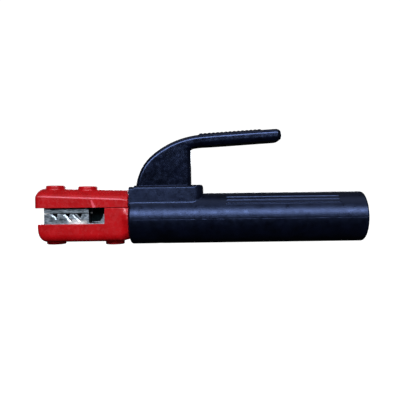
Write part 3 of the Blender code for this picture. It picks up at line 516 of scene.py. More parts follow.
def make_handle():
    x = handle_stations()[:, None]
    angle = handle_angles()[None, :]
    low = np.full((x.size, angle.size), HANDLE_BORE)
    high = low + HANDLE_RADIUS
    for _ in range(HANDLE_HALVINGS):
        middle = (low + high) / 2
        outside = handle_distance(x, middle * np.sin(angle), AXIS_Z + middle * np.cos(angle)) > 0
        high = np.where(outside, middle, high)
        low = np.where(outside, low, middle)
    radius = low + handle_relief(x, angle, low)
    radius = np.minimum(radius, HANDLE_RADIUS / np.maximum(np.abs(np.sin(angle)), 0.1))
    y, z = radius * np.sin(angle), AXIS_Z + radius * np.cos(angle)
    rings = [[(x[i, 0], y[i, j], z[i, j]) for j in range(angle.size)] for i in range(x.size)]
    bore = [
        (0, HANDLE_REAR + PAST),
        (HANDLE_REAR_BORE + HANDLE_INNER_ROUND + PAST, HANDLE_REAR + PAST),
        (HANDLE_REAR_BORE, HANDLE_REAR - HANDLE_INNER_ROUND),
        (HANDLE_REAR_BORE, LAND[1]),
        (LAND_RADIUS, LAND[1]),
        (LAND_RADIUS, LAND[0]),
        (HANDLE_BORE, LAND[0]),
        (HANDLE_BORE, HANDLE_FRONT - PAST),
        (0, HANDLE_FRONT - PAST),
    ]
    inside = (HANDLE_FRONT - PAST, BOX_INNER_REAR)
    boss_foot = FIXING_RECESS - PAST
    handle = combine(
        "handle_body",
        loft(rings),
        cutting(
            turned(bore, (0, 0, AXIS_Z), (1, 0, 0), 128),
            slab(inside, BOX_INNER_HALF_WIDTH, (AXIS_Z, BOX_ROOF)),
            slot_cutter(inside),
        )
        + adding(upright(FIXING_X, (boss_foot, FIXING_BOSS_TOP), FIXING_BOSS_RADIUS))
        + cutting(
            upright(FIXING_X, (-PAST, FIXING_RECESS), FIXING_HEAD_HOLE),
            upright(FIXING_X, (boss_foot, FIXING_BOSS_TOP + PAST), FIXING_SHANK_HOLE),
        ),
    )
    finish_piece(handle, "holder", "black_plastic", "handle")


def slot_cutter(x):
    """A slot whose upper edges are rounded over."""
    section = [(SLOT_HALF_WIDTH, BOX_ROOF - PAST)]
    for k in range(5):
        angle = math.pi / 2 * k / 4
        out = SLOT_EDGE_ROUND * (1 - math.cos(angle))
        up = SLOT_EDGE_ROUND * (math.sin(angle) - 1)
        section.append((SLOT_HALF_WIDTH + out, BOX_TOP + up))
    section.append((SLOT_HALF_WIDTH + SLOT_EDGE_ROUND, BOX_TOP + PAST))
    section += [(-y, z) for y, z in reversed(section)]
    return loft([[(at, y, z) for y, z in section] for at in x])


# ---- Insulators and screws


def lower_section(x, half, bottom, flare):
    """A U-shaped section, with a share of it drawn out to the round end that meets the handle."""
    side = [(half, z, 0) for z in (LOWER_TOP, 22, AXIS_Z)]
    corners = [(-y, z, r) for y, z, r in side]
    corners += [(-half, bottom, LOWER_EDGE_ROUND), (half, bottom, LOWER_EDGE_ROUND)]
    corners += list(reversed(side))
    centre = Vector((0, AXIS_Z))
    section = []
    for point in fillet(corners, 12):
        round_point = centre + (point - centre).normalized() * FLARE_RADIUS
        if point.y > LOWER_TOP - GAP:
            reach = math.sqrt(FLARE_RADIUS**2 - (LOWER_TOP - AXIS_Z) ** 2)
            round_point = Vector((math.copysign(reach, point.x), LOWER_TOP))
        y, z = point.lerp(round_point, flare)
        section.append((x, y, z))
    return section


def lower_shell():
    sections = []
    for distance in round_steps(LOWER_FRONT_ROUND, 12):
        half = SHELL_HALF_WIDTH - round_drop(PLAN_ROUND, distance)
        bottom = LOWER_BOTTOM + round_drop(LOWER_FRONT_ROUND, distance)
        sections.append(lower_section(LOWER_FRONT + distance, half, bottom, 0))
    for k in range(11):
        share = k / 10
        x = LOWER_REAR - FLARE_LENGTH * (1 - share)
        flare = share * share * (3 - 2 * share)
        sections.append(lower_section(x, SHELL_HALF_WIDTH, LOWER_BOTTOM, flare))
    return loft(sections)


def upper_section(x, half, edge, top):
    """An arched section: two upright sides and a shallow arch between them."""
    rise = top - edge
    radius = (half**2 + rise**2) / (2 * rise)
    reach = math.asin(half / radius)
    arch = []
    for k in range(1, 24):
        angle = reach * (1 - k / 12)
        arch.append((radius * math.sin(angle), top - radius * (1 - math.cos(angle)), 0))
    corners = [(half, UPPER_BOTTOM, 0), (half, edge, UPPER_EDGE_ROUND), *arch[1:-1]]
    corners += [(-half, edge, UPPER_EDGE_ROUND), (-half, UPPER_BOTTOM, 0)]
    return [(x, y, z) for y, z in fillet(corners, 6)]


def upper_shell():
    slope = (UPPER_TOP[1] - UPPER_TOP[0]) / (UPPER_REAR - UPPER_FRONT)
    edge_slope = (UPPER_EDGE[1] - UPPER_EDGE[0]) / (UPPER_REAR - UPPER_FRONT)
    sections = []
    for distance in round_steps(UPPER_FRONT_ROUND, 12):
        fall = round_drop(UPPER_FRONT_ROUND, distance)
        half = SHELL_HALF_WIDTH - round_drop(PLAN_ROUND, distance)
        top = UPPER_TOP[0] + slope * distance - fall
        edge = UPPER_EDGE[0] + edge_slope * distance - 0.3 * fall
        sections.append(upper_section(UPPER_FRONT + distance, half, edge, top))
    for k in range(9):
        share = k / 8
        x = UPPER_REAR - FLARE_LENGTH * (1 - share)
        top = UPPER_TOP[0] + slope * (x - UPPER_FRONT)
        edge = UPPER_EDGE[0] + edge_slope * (x - UPPER_FRONT) - UPPER_EDGE_REAR_DROP * share**2
        section = upper_section(x, SHELL_HALF_WIDTH, edge, top)
        lean = [share * min(REAR_LEAN * (top - z), REAR_LEAN_END) for _, _, z in section]
        sections.append([(at + out, y, z) for (at, y, z), out in zip(section, lean)])
    return loft(sections)


def collar(x, rim, up):
    """A round collar with its rim towards up (1) or down (-1)."""
    profile = [(0, -COLLAR_LENGTH), (COLLAR_RADIUS, -COLLAR_LENGTH)]
    for k in range(5):
        angle = math.pi / 2 * k / 4
        out = COLLAR_RADIUS - COLLAR_ROUND * (1 - math.cos(angle))
        profile.append((out, -COLLAR_ROUND * (1 - math.sin(angle))))
    return turned([*profile, (0, 0)], (x, 0, rim), (0, 0, up), 72)


def screw_seat(x, rim, up):
    """The stepped hole that a screw lies in, as one cutter."""
    profile = [
        (0, -SCREW_HOLE_DEPTH),
        (SCREW_HOLE_RADIUS, -SCREW_HOLE_DEPTH),
        (SCREW_HOLE_RADIUS, -COLLAR_RECESS),
        (COLLAR_BORE, -COLLAR_RECESS),
        (COLLAR_BORE, PAST),
        (0, PAST),
    ]
    return turned(profile, (x, 0, rim), (0, 0, up))


def make_lower_insulator():
    collars = [collar(x, rim, -1) for x, rim in LOWER_COLLARS.values()]
    over = LOWER_TOP + PAST
    shell = combine(
        "lower_insulator_shell",
        lower_shell(),
        adding(*collars)
        + cutting(
            slab((LOWER_FRONT - PAST, THROAT_REAR), 2 * SHELL_HALF_WIDTH, (LOWER_SLOT_Z, over)),
            slab((CAVITY_FRONT, BULKHEAD_X), CAVITY_HALF_WIDTH, (LOWER_INSIDE_BOTTOM, over)),
            slab((BULKHEAD_X - PAST, LOWER_REAR + PAST), NECK_HALF_WIDTH, (NECK_BOTTOM, over)),
            *[screw_seat(x, rim, -1) for x, rim in LOWER_COLLARS.values()],
        ),
    )
    shell = softened(shell, SHELL_VOXEL, SHELL_ROUNDS, SHELL_KEEP)
    finish_piece(shell, "holder", "red_plastic", "lower_jaw_insulator")


def make_upper_insulator():
    collars = [collar(x, rim, 1) for x, rim in UPPER_COLLARS.values()]
    tongue = slab((UPPER_REAR - PAST, TONGUE_REAR), TONGUE_HALF_WIDTH, (UPPER_BOTTOM, TONGUE_TOP))
    inside = (UPPER_BOTTOM - PAST, UPPER_INSIDE_TOP)
    shell = combine(
        "upper_insulator_shell",
        upper_shell(),
        adding(*collars, tongue)
        + cutting(
            slab((CAVITY_FRONT, BULKHEAD_X), CAVITY_HALF_WIDTH, inside),
            slab((BULKHEAD_X - PAST, TONGUE_REAR + PAST), EYE_SLOT_HALF_WIDTH, inside),
            *[screw_seat(x, rim, 1) for x, rim in UPPER_COLLARS.values()],
        ),
    )
    shell = softened(shell, SHELL_VOXEL, SHELL_ROUNDS, SHELL_KEEP)
    finish_piece(shell, "lever", "red_plastic", "upper_jaw_insulator")


def make_screw(node, body, x, rim, up):
    """A slotted screw with a slightly domed head, turned towards up (1) or down (-1)."""
    profile = [
        (0, -SCREW_LENGTH),
        (SCREW_SHANK_RADIUS - SCREW_END_CHAMFER, -SCREW_LENGTH),
        (SCREW_SHANK_RADIUS, -SCREW_LENGTH + SCREW_END_CHAMFER),
        (SCREW_SHANK_RADIUS, -SCREW_HEAD_HEIGHT),
        (SCREW_HEAD_RADIUS - SCREW_HEAD_CHAMFER, -SCREW_HEAD_HEIGHT),
        (SCREW_HEAD_RADIUS, -SCREW_HEAD_HEIGHT + SCREW_HEAD_CHAMFER),
    ]
    for k in range(7):
        angle = math.pi / 2 * k / 6
        reach = SCREW_HEAD_RADIUS * math.cos(angle) ** 0.6 if k < 6 else 0
        profile.append((reach, -SCREW_DOME * (1 - math.sin(angle))))
    top = rim - up * SCREW_SUNK
    screw = turned(profile, (x, 0, top), (0, 0, up), 48)
    low, high = sorted((top + up * PAST, top - up * SCREW_SLOT_DEPTH))
    low_corner = (x - SCREW_SLOT_HALF_WIDTH, -2 * COLLAR_BORE, low)
    high_corner = (x + SCREW_SLOT_HALF_WIDTH, 2 * COLLAR_BORE, high)
    screw = combine(node + "_turned", screw, cutting(box(low_corner, high_corner)))
    finish_piece(screw, body, "bright_steel", node, SCREW_SHARP_ANGLE)


# ---- Thumb lever


def heading_vector(degrees):
    return Vector((math.cos(math.radians(degrees)), math.sin(math.radians(degrees))))


def outward(degrees):
    return Vector((-math.sin(math.radians(degrees)), math.cos(math.radians(degrees))))


def lever_path(inset, steps=28):
    """(point, heading, distance run) along the lever, some way in from its outer side."""
    heading = LEVER_START_HEADING
    point = LEVER_START - outward(heading) * inset
    run = 0.0
    path = [(point, heading, run)]
    for radius, end_heading in LEVER_ARCS:
        centre = point - outward(heading) * (radius - inset)
        for k in range(1, steps + 1):
            turned_to = heading + (end_heading - heading) * k / steps
            point = centre + outward(turned_to) * (radius - inset)
            path.append((point, turned_to, run + radius * math.radians(heading - turned_to)))
        heading = end_heading
        run = path[-1][2]
    return path


def lever_section(point, heading, half_width, half_height):
    """A rounded oblong section across the lever."""
    radius = min(LEVER_EDGE_ROUND, 0.9 * half_height, 0.9 * half_width)
    corners = ((1, 1), (-1, 1), (-1, -1), (1, -1))
    section = []
    for across, out in fillet([(half_width * a, half_height * b, radius) for a, b in corners], 10):
        x, z = point + outward(heading) * out
        section.append((x, across, z))
    return section


def thumb_bar():
    half_height = LEVER_THICKNESS / 2
    path = [(point, heading) for point, heading, _ in lever_path(half_height)]
    start, heading = path[-1]
    along = heading_vector(heading)
    straight = (LEVER_TIP - start.x) / along.x - LEVER_END_LENGTH
    path += [(start + along * straight * k / 20, heading) for k in range(1, 10)]
    sections = []
    for point, turned_to in path:
        share = float(ease(point.x, *LEVER_WIDENS))
        half_width = LEVER_ROOT_HALF_WIDTH + (LEVER_HALF_WIDTH - LEVER_ROOT_HALF_WIDTH) * share
        sections.append(lever_section(point, turned_to, half_width, half_height))
    for k in range(14):
        u = math.sin(math.pi / 2 * k / 13.4)
        thin = (1 - u**2.5) ** 0.4
        narrow = (1 - u**3) ** (1 / 3)
        point = start + along * (straight + u * LEVER_END_LENGTH)
        width, height = LEVER_HALF_WIDTH * narrow, half_height * thin
        sections.append(lever_section(point, heading, width, height))
    return loft(sections)


def fin():
    """The web under the bar, with a skirt that goes down beside the blade."""
    middle = [point for point, _, _ in lever_path(LEVER_THICKNESS / 2)]
    spine = [point for point in middle if point.x < FIN_REAR]
    outline = [
        (SKIRT_FRONT, SKIRT_BOTTOM),
        (FIN_REAR - FIN_EDGE_ROUND, SKIRT_BOTTOM),
        (FIN_REAR - FIN_EDGE_ROUND, spine[-1].y),
        *[(point.x, point.y) for point in reversed(spine) if point.x < FIN_REAR - FIN_EDGE_ROUND],
        (SKIRT_FRONT, LEVER_START.y),
    ]
    return plate(outline, FIN_HALF_WIDTH)


def fin_rear():
    """The rear end of the web, which curves back into the underside of the bar."""
    bar_inside = lever_path(LEVER_THICKNESS)
    ceiling = min(bar_inside, key=lambda step: abs(step[0].x - FIN_REAR))[0].y
    sections = []
    heights = [SKIRT_BOTTOM, *np.linspace(ceiling - 3 * FIN_FILLET, ceiling + 3, 20)]
    for z in heights:
        rise = max(0.0, z - (ceiling - FIN_FILLET))
        back = FIN_FILLET - math.sqrt(max(FIN_FILLET**2 - min(rise, FIN_FILLET) ** 2, 0))
        corners = [
            (FIN_REAR - 2 * FIN_EDGE_ROUND, -FIN_HALF_WIDTH, 0),
            (FIN_REAR + back, -FIN_HALF_WIDTH, FIN_EDGE_ROUND),
            (FIN_REAR + back, FIN_HALF_WIDTH, FIN_EDGE_ROUND),
            (FIN_REAR - 2 * FIN_EDGE_ROUND, FIN_HALF_WIDTH, 0),
        ]
        sections.append([(x, y, z) for x, y in fillet(corners, 6)])
    return loft(sections)


def on_bar(low_x, high_x, height, half_width):
    """A block on the straight bar's outer side, between two x."""
    start, heading, _ = lever_path(0)[-1]
    along = heading_vector(heading)
    distance = ((low_x + high_x) / 2 - start.x) / along.x
    middle = start + along * distance + outward(heading) * (height - RIDGE_DEPTH / 2)
    half = Vector(((high_x - low_x) / 2, half_width, RIDGE_DEPTH / 2))
    thing = box(-half, half, 0.2)
    thing.location = Vector((middle.x, 0, middle.y)) * MM
    thing.rotation_euler = (0, -math.radians(heading), 0)
    return thing


def grip():
    """The raised strip under the thumb, with its crosswise ridges."""
    pitch = (GRIP[1] - GRIP[0]) / RIDGE_COUNT
    blocks = [on_bar(*GRIP, GRIP_HEIGHT, GRIP_HALF_WIDTH)]
    for index in range(RIDGE_COUNT):
        low_x = GRIP[0] + index * pitch + (pitch - RIDGE_LENGTH) / 2
        blocks.append(on_bar(low_x, low_x + RIDGE_LENGTH, RIDGE_HEIGHT, GRIP_HALF_WIDTH - GAP))
    return blocks


def make_thumb_lever():
    front, rear = PIVOT.x - GAP, BLADE_REAR + GAP
    pocket = [
        (front, SKIRT_BOTTOM - PAST, 0),
        (front, BLADE_TOP + GAP, 9),
        (rear, BLADE_TOP + GAP, 3),
        (rear, SKIRT_BOTTOM - PAST, 0),
    ]
    across = (-2 * FIN_HALF_WIDTH, 2 * FIN_HALF_WIDTH)
    pins = [rod((x, 0, CROSS_PIN_Z), (0, 1, 0), CROSS_PIN_HOLE, across, 32) for x in CROSS_PIN_X]
    lever = combine(
        "thumb_lever_cover",
        thumb_bar(),
        adding(fin(), fin_rear(), *grip())
        + cutting(plate(fillet(pocket, 6), BLADE_HALF_WIDTH + GAP), *pins),
    )
    lever = softened(lever, LEVER_VOXEL, LEVER_ROUNDS, LEVER_KEEP)
    finish_piece(lever, "lever", "black_plastic", "thumb_lever")


# ---- Castings and spring


def refined(node, name, keep, *added):
    """A copy of a CAD node, with shapes added and its edges eased, as a casting's are."""
    copy = bpy.data.objects.new(name, NODES[node].data.copy())
    bpy.context.scene.collection.objects.link(copy)
    if added:
        copy = combine(name, copy, adding(*added))
    return softened(copy, CASTING_VOXEL, CASTING_ROUNDS, keep)


def throat_corner():
    """The rounded lower rear corner of the throat, just in front of the insulator's edge."""
    corner = Vector((THROAT_WALL - THROAT_FILLET, THROAT_FLOOR + THROAT_FILLET))
    angles = np.linspace(0, math.pi / 2, 12)
    arc = [corner + THROAT_FILLET * Vector((math.sin(a), -math.cos(a))) for a in angles]
    behind = THROAT_REAR + PAST
    outline = [*arc, (THROAT_WALL, JAWS_MEET), (behind, JAWS_MEET), (behind, THROAT_FLOOR - PAST)]
    outline.append((THROAT_WALL - THROAT_FILLET, THROAT_FLOOR - PAST))
    return plate(outline, THROAT_HALF_WIDTH)


def make_castings():
    corner = throat_corner()
    lower = refined("lower_jaw_body", "lower_jaw_casting", LOWER_CASTING_KEEP, corner)
    finish_piece(lower, "holder", "plated_casting", "lower_jaw_body")
    upper = refined("upper_jaw_lever", "upper_jaw_casting", UPPER_CASTING_KEEP)
    finish_piece(upper, "lever", "plated_casting", "upper_jaw_lever")


def spring_height(turn):
    """Height of the wire's middle after some turns: the coil is nearly closed at each end."""
    low = SPRING_BOTTOM + SPRING_WIRE_RADIUS
    high = SPRING_TOP - SPRING_WIRE_RADIUS
    if turn < SPRING_END_TURNS:
        return low + turn * SPRING_END_PITCH
    if turn > SPRING_TURNS - SPRING_END_TURNS:
        return high - (SPRING_TURNS - turn) * SPRING_END_PITCH
    end_rise = SPRING_END_TURNS * SPRING_END_PITCH
    share = (turn - SPRING_END_TURNS) / (SPRING_TURNS - 2 * SPRING_END_TURNS)
    return low + end_rise + share * (high - low - 2 * end_rise)


def make_spring():
    sections = []
    for k in range(SPRING_TURNS * SPRING_TURN_STEPS + 1):
        angle = 2 * math.pi * k / SPRING_TURN_STEPS
        out = Vector((math.cos(angle), math.sin(angle), 0))
        height = spring_height(k / SPRING_TURN_STEPS)
        middle = Vector((SPRING_X, 0, height)) + out * SPRING_MEAN_RADIUS
        ring = []
        for side in range(SPRING_SIDES):
            turn = 2 * math.pi * side / SPRING_SIDES
            reach = out * math.cos(turn) + Vector((0, 0, math.sin(turn)))
            ring.append(middle + reach * SPRING_WIRE_RADIUS)
        sections.append(ring)
    spring = loft(sections)
    spring.name = spring.data.name = "lever_spring_wire"
    finish_piece(spring, "holder", "bright_steel", "lever_spring")
    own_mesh(spring)


# ---- Finishing


def points_of(mesh):
    """Rows of x, y and z in millimetres."""
    co = np.empty(len(mesh.vertices) * 3, np.float32)
    mesh.vertices.foreach_get("co", co)
    return co.reshape(-1, 3).T / MM


def mark(mesh, name, values):
    """Stores a mask on a mesh, for its material to read."""
    layer = mesh.attributes.new(name, "FLOAT", "POINT")
    layer.data.foreach_set("value", np.asarray(values, np.float32))


def mark_edges(mesh):
    """Stores how sharply the surface turns outwards at each point, for worn edges."""
    count = len(mesh.vertices)
    co = np.ascontiguousarray(points_of(mesh).T)
    normal = np.empty(count * 3, np.float32)
    mesh.vertices.foreach_get("normal", normal)
    normal = normal.reshape(-1, 3)
    ends = np.empty(len(mesh.edges) * 2, np.int32)
    mesh.edges.foreach_get("vertices", ends)
    a, b = ends.reshape(-1, 2).T
    degree = np.maximum(np.bincount(a, minlength=count) + np.bincount(b, minlength=count), 1)

    def spread(values):
        total = np.zeros_like(values)
        np.add.at(total, a, values[b])
        np.add.at(total, b, values[a])
        return total / (degree[:, None] if values.ndim > 1 else degree)

    around = spread(co)
    length = np.linalg.norm(co[a] - co[b], axis=1)
    reach = np.bincount(a, length, count) + np.bincount(b, length, count)
    reach = np.maximum(reach / degree, 0.001)
    bend = ((co - around) * normal).sum(1) / reach
    for _ in range(2):
        bend = 0.5 * bend + 0.5 * spread(bend)
    mark(mesh, "edge", np.clip(bend * 4, 0, 1))


def mark_casting(mesh):
    """Stores painted shade in the throat and on the upper jaw under its insulator, a darkening towards the top and
    front tip of the lower jaw, and a painted highlight low on the lower jaw's side.
    """
    x, _, z = points_of(mesh)
    # Painted shade in the throat, starting just above its floor and rounded corner
    in_throat = ease(x, *THROAT_SHADE_FRONT) * (1 - ease(x, *THROAT_SHADE_REAR))
    corner = np.hypot(x - THROAT_WALL + THROAT_FILLET, z - THROAT_FLOOR - THROAT_FILLET)
    in_corner = (x > THROAT_WALL - THROAT_FILLET) & (z < THROAT_FLOOR + THROAT_FILLET)
    above = np.where(in_corner, THROAT_FILLET - corner, z - THROAT_FLOOR)
    in_jaws = 1 - ease(x, *THROAT_SHADE_FRONT)
    # Painted shade on the upper jaw under its insulator's overhang, deeper near the insulator
    upper = UPPER_JAW_SHADE + UPPER_ROOT_SHADE * ease(z, *UPPER_ROOT_Z)
    # Darker low at the lower jaw's front tip, and towards the lower jaw's top
    tip = TIP_DARKENING * (1 - ease(x, *TIP_DARKENING_X)) * (1 - ease(z, *TIP_DARKENING_Z))
    lower = LOWER_JAW_DARKENING * ease(z, *LOWER_JAW_DARKENING_Z) + tip
    jaws = in_jaws * np.where(z > JAWS_MEET, upper, lower)
    mark(mesh, "painted_shade_and_darkening", in_throat * ease(above, *THROAT_SHADE_OFF_FLOOR) + jaws)
    # Painted highlight low on the lower jaw's side
    low = 1 - ease(z + JAW_HIGHLIGHT_FALL * (x - JAW_HIGHLIGHT_FRONT[0]), *JAW_HIGHLIGHT_Z)
    mark(mesh, "bright", low * ease(x, *JAW_HIGHLIGHT_FRONT) * (1 - ease(x, *JAW_HIGHLIGHT_REAR)))


def mark_highlight_and_wedge(mesh):
    """Stores the painted highlight along the upper insulator's upper edge, and a pale wedge-shaped mark on its
    near side.
    """
    x, y, z = points_of(mesh)
    # Pale wedge on the near side, widening downwards
    down = np.clip((WEDGE_TOP.y - z) / (WEDGE_TOP.y - UPPER_BOTTOM), 0, 1)
    off = np.abs(x - WEDGE_TOP.x - WEDGE_LEAN * down)
    half_width = WEDGE_HALF_WIDTH * down
    across = 1 - ease(off, WEDGE_EDGE[0] + half_width, WEDGE_EDGE[1] + half_width)
    edge = np.interp(x, (UPPER_FRONT, UPPER_REAR), UPPER_EDGE)
    # Painted highlight along the line of the upper edge, on both sides
    painted_line = np.exp(-(((z - edge + 0.1) / EDGE_HIGHLIGHT_HALF_WIDTH) ** 2)) * (np.abs(y) > EDGE_HIGHLIGHT_INSIDE)
    painted_line = EDGE_HIGHLIGHT * painted_line * ease(x, *EDGE_HIGHLIGHT_FRONT) * (1 - ease(x, *EDGE_HIGHLIGHT_REAR))
    mark(mesh, "painted_highlight_and_wedge", np.maximum(across * (down > 0) * (y < 0), painted_line))


def finish_piece(piece, body, slot, node, sharp=SHARP_ANGLE):
    """Shades a piece, gives it its finish and puts it in the place of its CAD node."""
    mesh = piece.data
    mesh.shade_smooth()
    mesh.set_sharp_from_angle(angle=math.radians(sharp))
    mark_edges(mesh)
    if slot == "plated_casting":
        mark_casting(mesh)
    if node == "upper_jaw_insulator":
        mark_highlight_and_wedge(mesh)
    if node == "thumb_lever":
        mark(mesh, "polish", np.ones(len(mesh.vertices)))
    mesh.materials.clear()
    mesh.materials.append(FINISHES[slot])
    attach(piece, body)
    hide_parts(node)


class Nodes:
    """A short way to build a material's node tree."""

    def __init__(self, name):
        self.material = bpy.data.materials.new(name)
        self.material.use_nodes = True
        self.tree = self.material.node_tree
        self.shader = self.tree.nodes["Principled BSDF"]
        coordinates = self.tree.nodes.new("ShaderNodeTexCoord")
        self.place = self.vector("MULTIPLY", coordinates.outputs["Object"], (1000, 1000, 1000))

    def link(self, value, socket):
        if isinstance(value, bpy.types.NodeSocket):
            self.tree.links.new(value, socket)
        else:
            socket.default_value = value

    def vector(self, operation, first, second):
        node = self.tree.nodes.new("ShaderNodeVectorMath")
        node.operation = operation
        self.link(first, node.inputs[0])
        self.link(second, node.inputs[1])
        return node.outputs[0]

    def math(self, operation, first, second=0.0, clamp=False):
        node = self.tree.nodes.new("ShaderNodeMath")
        node.operation = operation
        node.use_clamp = clamp
        self.link(first, node.inputs[0])
        self.link(second, node.inputs[1])
        return node.outputs[0]

    def noise(self, size, detail=3.0, stretch=(1, 1, 1), rough=0.5):
        """Noise whose lumps are about size millimetres across."""
        node = self.tree.nodes.new("ShaderNodeTexNoise")
        self.link(self.vector("MULTIPLY", self.place, stretch), node.inputs["Vector"])
        node.inputs["Scale"].default_value = 1 / size
        node.inputs["Detail"].default_value = detail
        node.inputs["Roughness"].default_value = rough
        return node.outputs["Fac"]

    def spread(self, value, low, high, to_low=0.0, to_high=1.0):
        node = self.tree.nodes.new("ShaderNodeMapRange")
        self.link(value, node.inputs["Value"])
        for name, number in zip(
            ("From Min", "From Max", "To Min", "To Max"), (low, high, to_low, to_high)
        ):
            node.inputs[name].default_value = number
        return node.outputs["Result"]

    def mix(self, share, first, second):
        node = self.tree.nodes.new("ShaderNodeMix")
        node.data_type = "RGBA"
        self.link(share, node.inputs["Factor"])
        colours = [socket for socket in node.inputs if socket.type == "RGBA"]
        for value, socket in ((first, colours[0]), (second, colours[1])):
            self.link(value if isinstance(value, bpy.types.NodeSocket) else (*value, 1), socket)
        return [socket for socket in node.outputs if socket.type == "RGBA"][0]

    def attribute(self, name):
        node = self.tree.nodes.new("ShaderNodeAttribute")
        node.attribute_name = name
        return node.outputs["Fac"]

    def bump(self, height, depth, before=None):
        """Relief of depth millimetres, on top of an earlier bump."""
        node = self.tree.nodes.new("ShaderNodeBump")
        node.inputs["Strength"].default_value = 1.0
        node.inputs["Distance"].default_value = depth * MM
        self.link(height, node.inputs["Height"])
        if before:
            self.link(before, node.inputs["Normal"])
        return node.outputs["Normal"]

    def set(self, **values):
        for name, value in values.items():
            self.link(value, self.shader.inputs[name.replace("_", " ")])
        return self.material


def moulded_plastic(name, dark, mid, light, roughness, grain, mottle, gloss=0.5, tint=(1, 1, 1)):
    """Moulded plastic: cloudy colour, fine grain, uneven gloss, paler worn edges, and a painted highlight and pale
    wedge where a mask is set.
    """
    m = Nodes(name)
    cloud = m.spread(m.noise(9, 4), 0.35, 0.65)
    colour = m.mix(cloud, dark, mid)
    wear = m.math("MULTIPLY", m.attribute("edge"), m.spread(m.noise(2.2, 5), 0.35, 0.7), True)
    colour = m.mix(m.math("MULTIPLY", wear, 0.55), colour, light)
    # Painted highlight along the upper insulator's upper edge, and its pale wedge, in the pale colour
    colour = m.mix(m.math("MULTIPLY", m.attribute("painted_highlight_and_wedge"), 0.9), colour, light)
    patches = m.noise(3.2, 4, rough=0.6)
    relief = m.bump(patches, mottle)
    relief = m.bump(m.noise(0.45, 2), grain, relief)
    rough = m.spread(patches, 0.3, 0.7, roughness - 0.08, roughness + 0.08)
    m.shader.inputs["Specular IOR Level"].default_value = gloss
    m.shader.inputs["Specular Tint"].default_value = (*tint, 1)
    rough = m.math("SUBTRACT", rough, m.math("MULTIPLY", m.attribute("polish"), 0.14))
    return m.set(Base_Color=colour, Roughness=rough, Normal=relief)


def metal(name, dark, light, roughness, relief_depth, grain=1.0, stretch=(0.25, 1.4, 1.4)):
    """Plated or bare metal with drawn-out marks and paler edges, and painted shade, darkening and a painted
    highlight where masks are set.
    """
    m = Nodes(name)
    marks = m.noise(0.5 * grain, 5, stretch)
    lumps = m.noise(2.6 * grain, 4)
    colour = m.mix(m.spread(marks, 0.35, 0.65), dark, light)
    edge = m.math("MULTIPLY", m.attribute("edge"), 0.7, True)
    colour = m.mix(edge, colour, tuple(min(1, 1.35 * c) for c in light))
    # Painted highlight: near-white where the mask is set, streaked by the marks
    painted_highlight = m.math("MULTIPLY", m.attribute("bright"), m.spread(marks, 0.3, 0.5, 0.6, 1.0))
    colour = m.mix(painted_highlight, colour, (0.97, 0.97, 0.98))
    # Painted shade and darkening: near-black mixed in where the mask is set
    colour = m.mix(m.attribute("painted_shade_and_darkening"), colour, (0.004, 0.007, 0.008))
    relief = m.bump(m.noise(0.7 * grain, 3), relief_depth * 0.5, m.bump(lumps, relief_depth))
    rough = m.spread(lumps, 0.3, 0.7, roughness - 0.1, roughness + 0.12)
    m.shader.inputs["Metallic"].default_value = 1.0
    return m.set(Base_Color=colour, Roughness=rough, Normal=relief)


FINISHES = {
    "black_plastic": moulded_plastic(
        "black_plastic",
        (0.0008, 0.0011, 0.003),
        (0.0018, 0.0026, 0.008),
        (0.010, 0.014, 0.032),
        0.34,
        0.012,
        0.075,
        gloss=0.64,
        tint=(0.33, 0.47, 1.0),
    ),
    "red_plastic": moulded_plastic(
        "red_plastic",
        (0.34, 0.002, 0.0035),
        (0.41, 0.0035, 0.006),
        (0.68, 0.09, 0.13),
        0.26,
        0.006,
        0.03,
        tint=(1, 0.75, 0.85),
    ),
    "plated_casting": metal(
        "plated_casting", (0.10, 0.135, 0.165), (0.60, 0.69, 0.80), 0.38, 0.10
    ),
    "bright_steel": metal("bright_steel", (0.42, 0.42, 0.41), (0.66, 0.66, 0.66), 0.3, 0.01),
    "black_steel": metal("black_steel", (0.012, 0.012, 0.013), (0.03, 0.03, 0.032), 0.4, 0.01),
    "copper": metal("copper", (0.55, 0.20, 0.10), (0.80, 0.36, 0.22), 0.32, 0.008),
    "red_fibre": moulded_plastic(
        "red_fibre", (0.12, 0.02, 0.012), (0.2, 0.04, 0.025), (0.3, 0.08, 0.05), 0.7, 0.02, 0.02
    ),
}


def finish_cad_nodes():
    """Gives the CAD nodes that stay their finishes, and eases their edges."""
    slots = {row["node"]: row["material_slot"] for row in frame["record"]["subparts"]}
    for name, node in NODES.items():
        if node.hide_render:
            continue
        node.data.materials.clear()
        node.data.materials.append(FINISHES[slots[name]])
        bevel = node.modifiers.new("eased edges", "BEVEL")
        bevel.width = BEVEL_WIDTH * MM
        bevel.segments = 2
        bevel.limit_method = "ANGLE"
        bevel.angle_limit = math.radians(BEVEL_ANGLE)


# ---- Stage: lengths here are in metres

WHITE = (1, 1, 1)
COOL_WHITE = (0.93, 0.96, 1.0)
PALE_BLUE = (0.9, 0.95, 1)
WORLD_COLOUR = (0.85, 0.92, 1.0, 1)
WORLD_RAMP = {"From Min": -0.05, "From Max": 0.1, "To Min": 0.004, "To Max": 0.07}
FLOOR_HALF_WIDTH = 4
FLOOR_FRONT, SWEEP_START, SWEEP_RADIUS, SWEEP_TOP = -4.0, 1.2, 0.8, 4.0
FLOOR_GLOW = 1.05
CAMERA_LENS = 40.27
CAMERA_PLACE = (-0.0006, -0.336, 0.032)
CAMERA_ROLL = 0.75


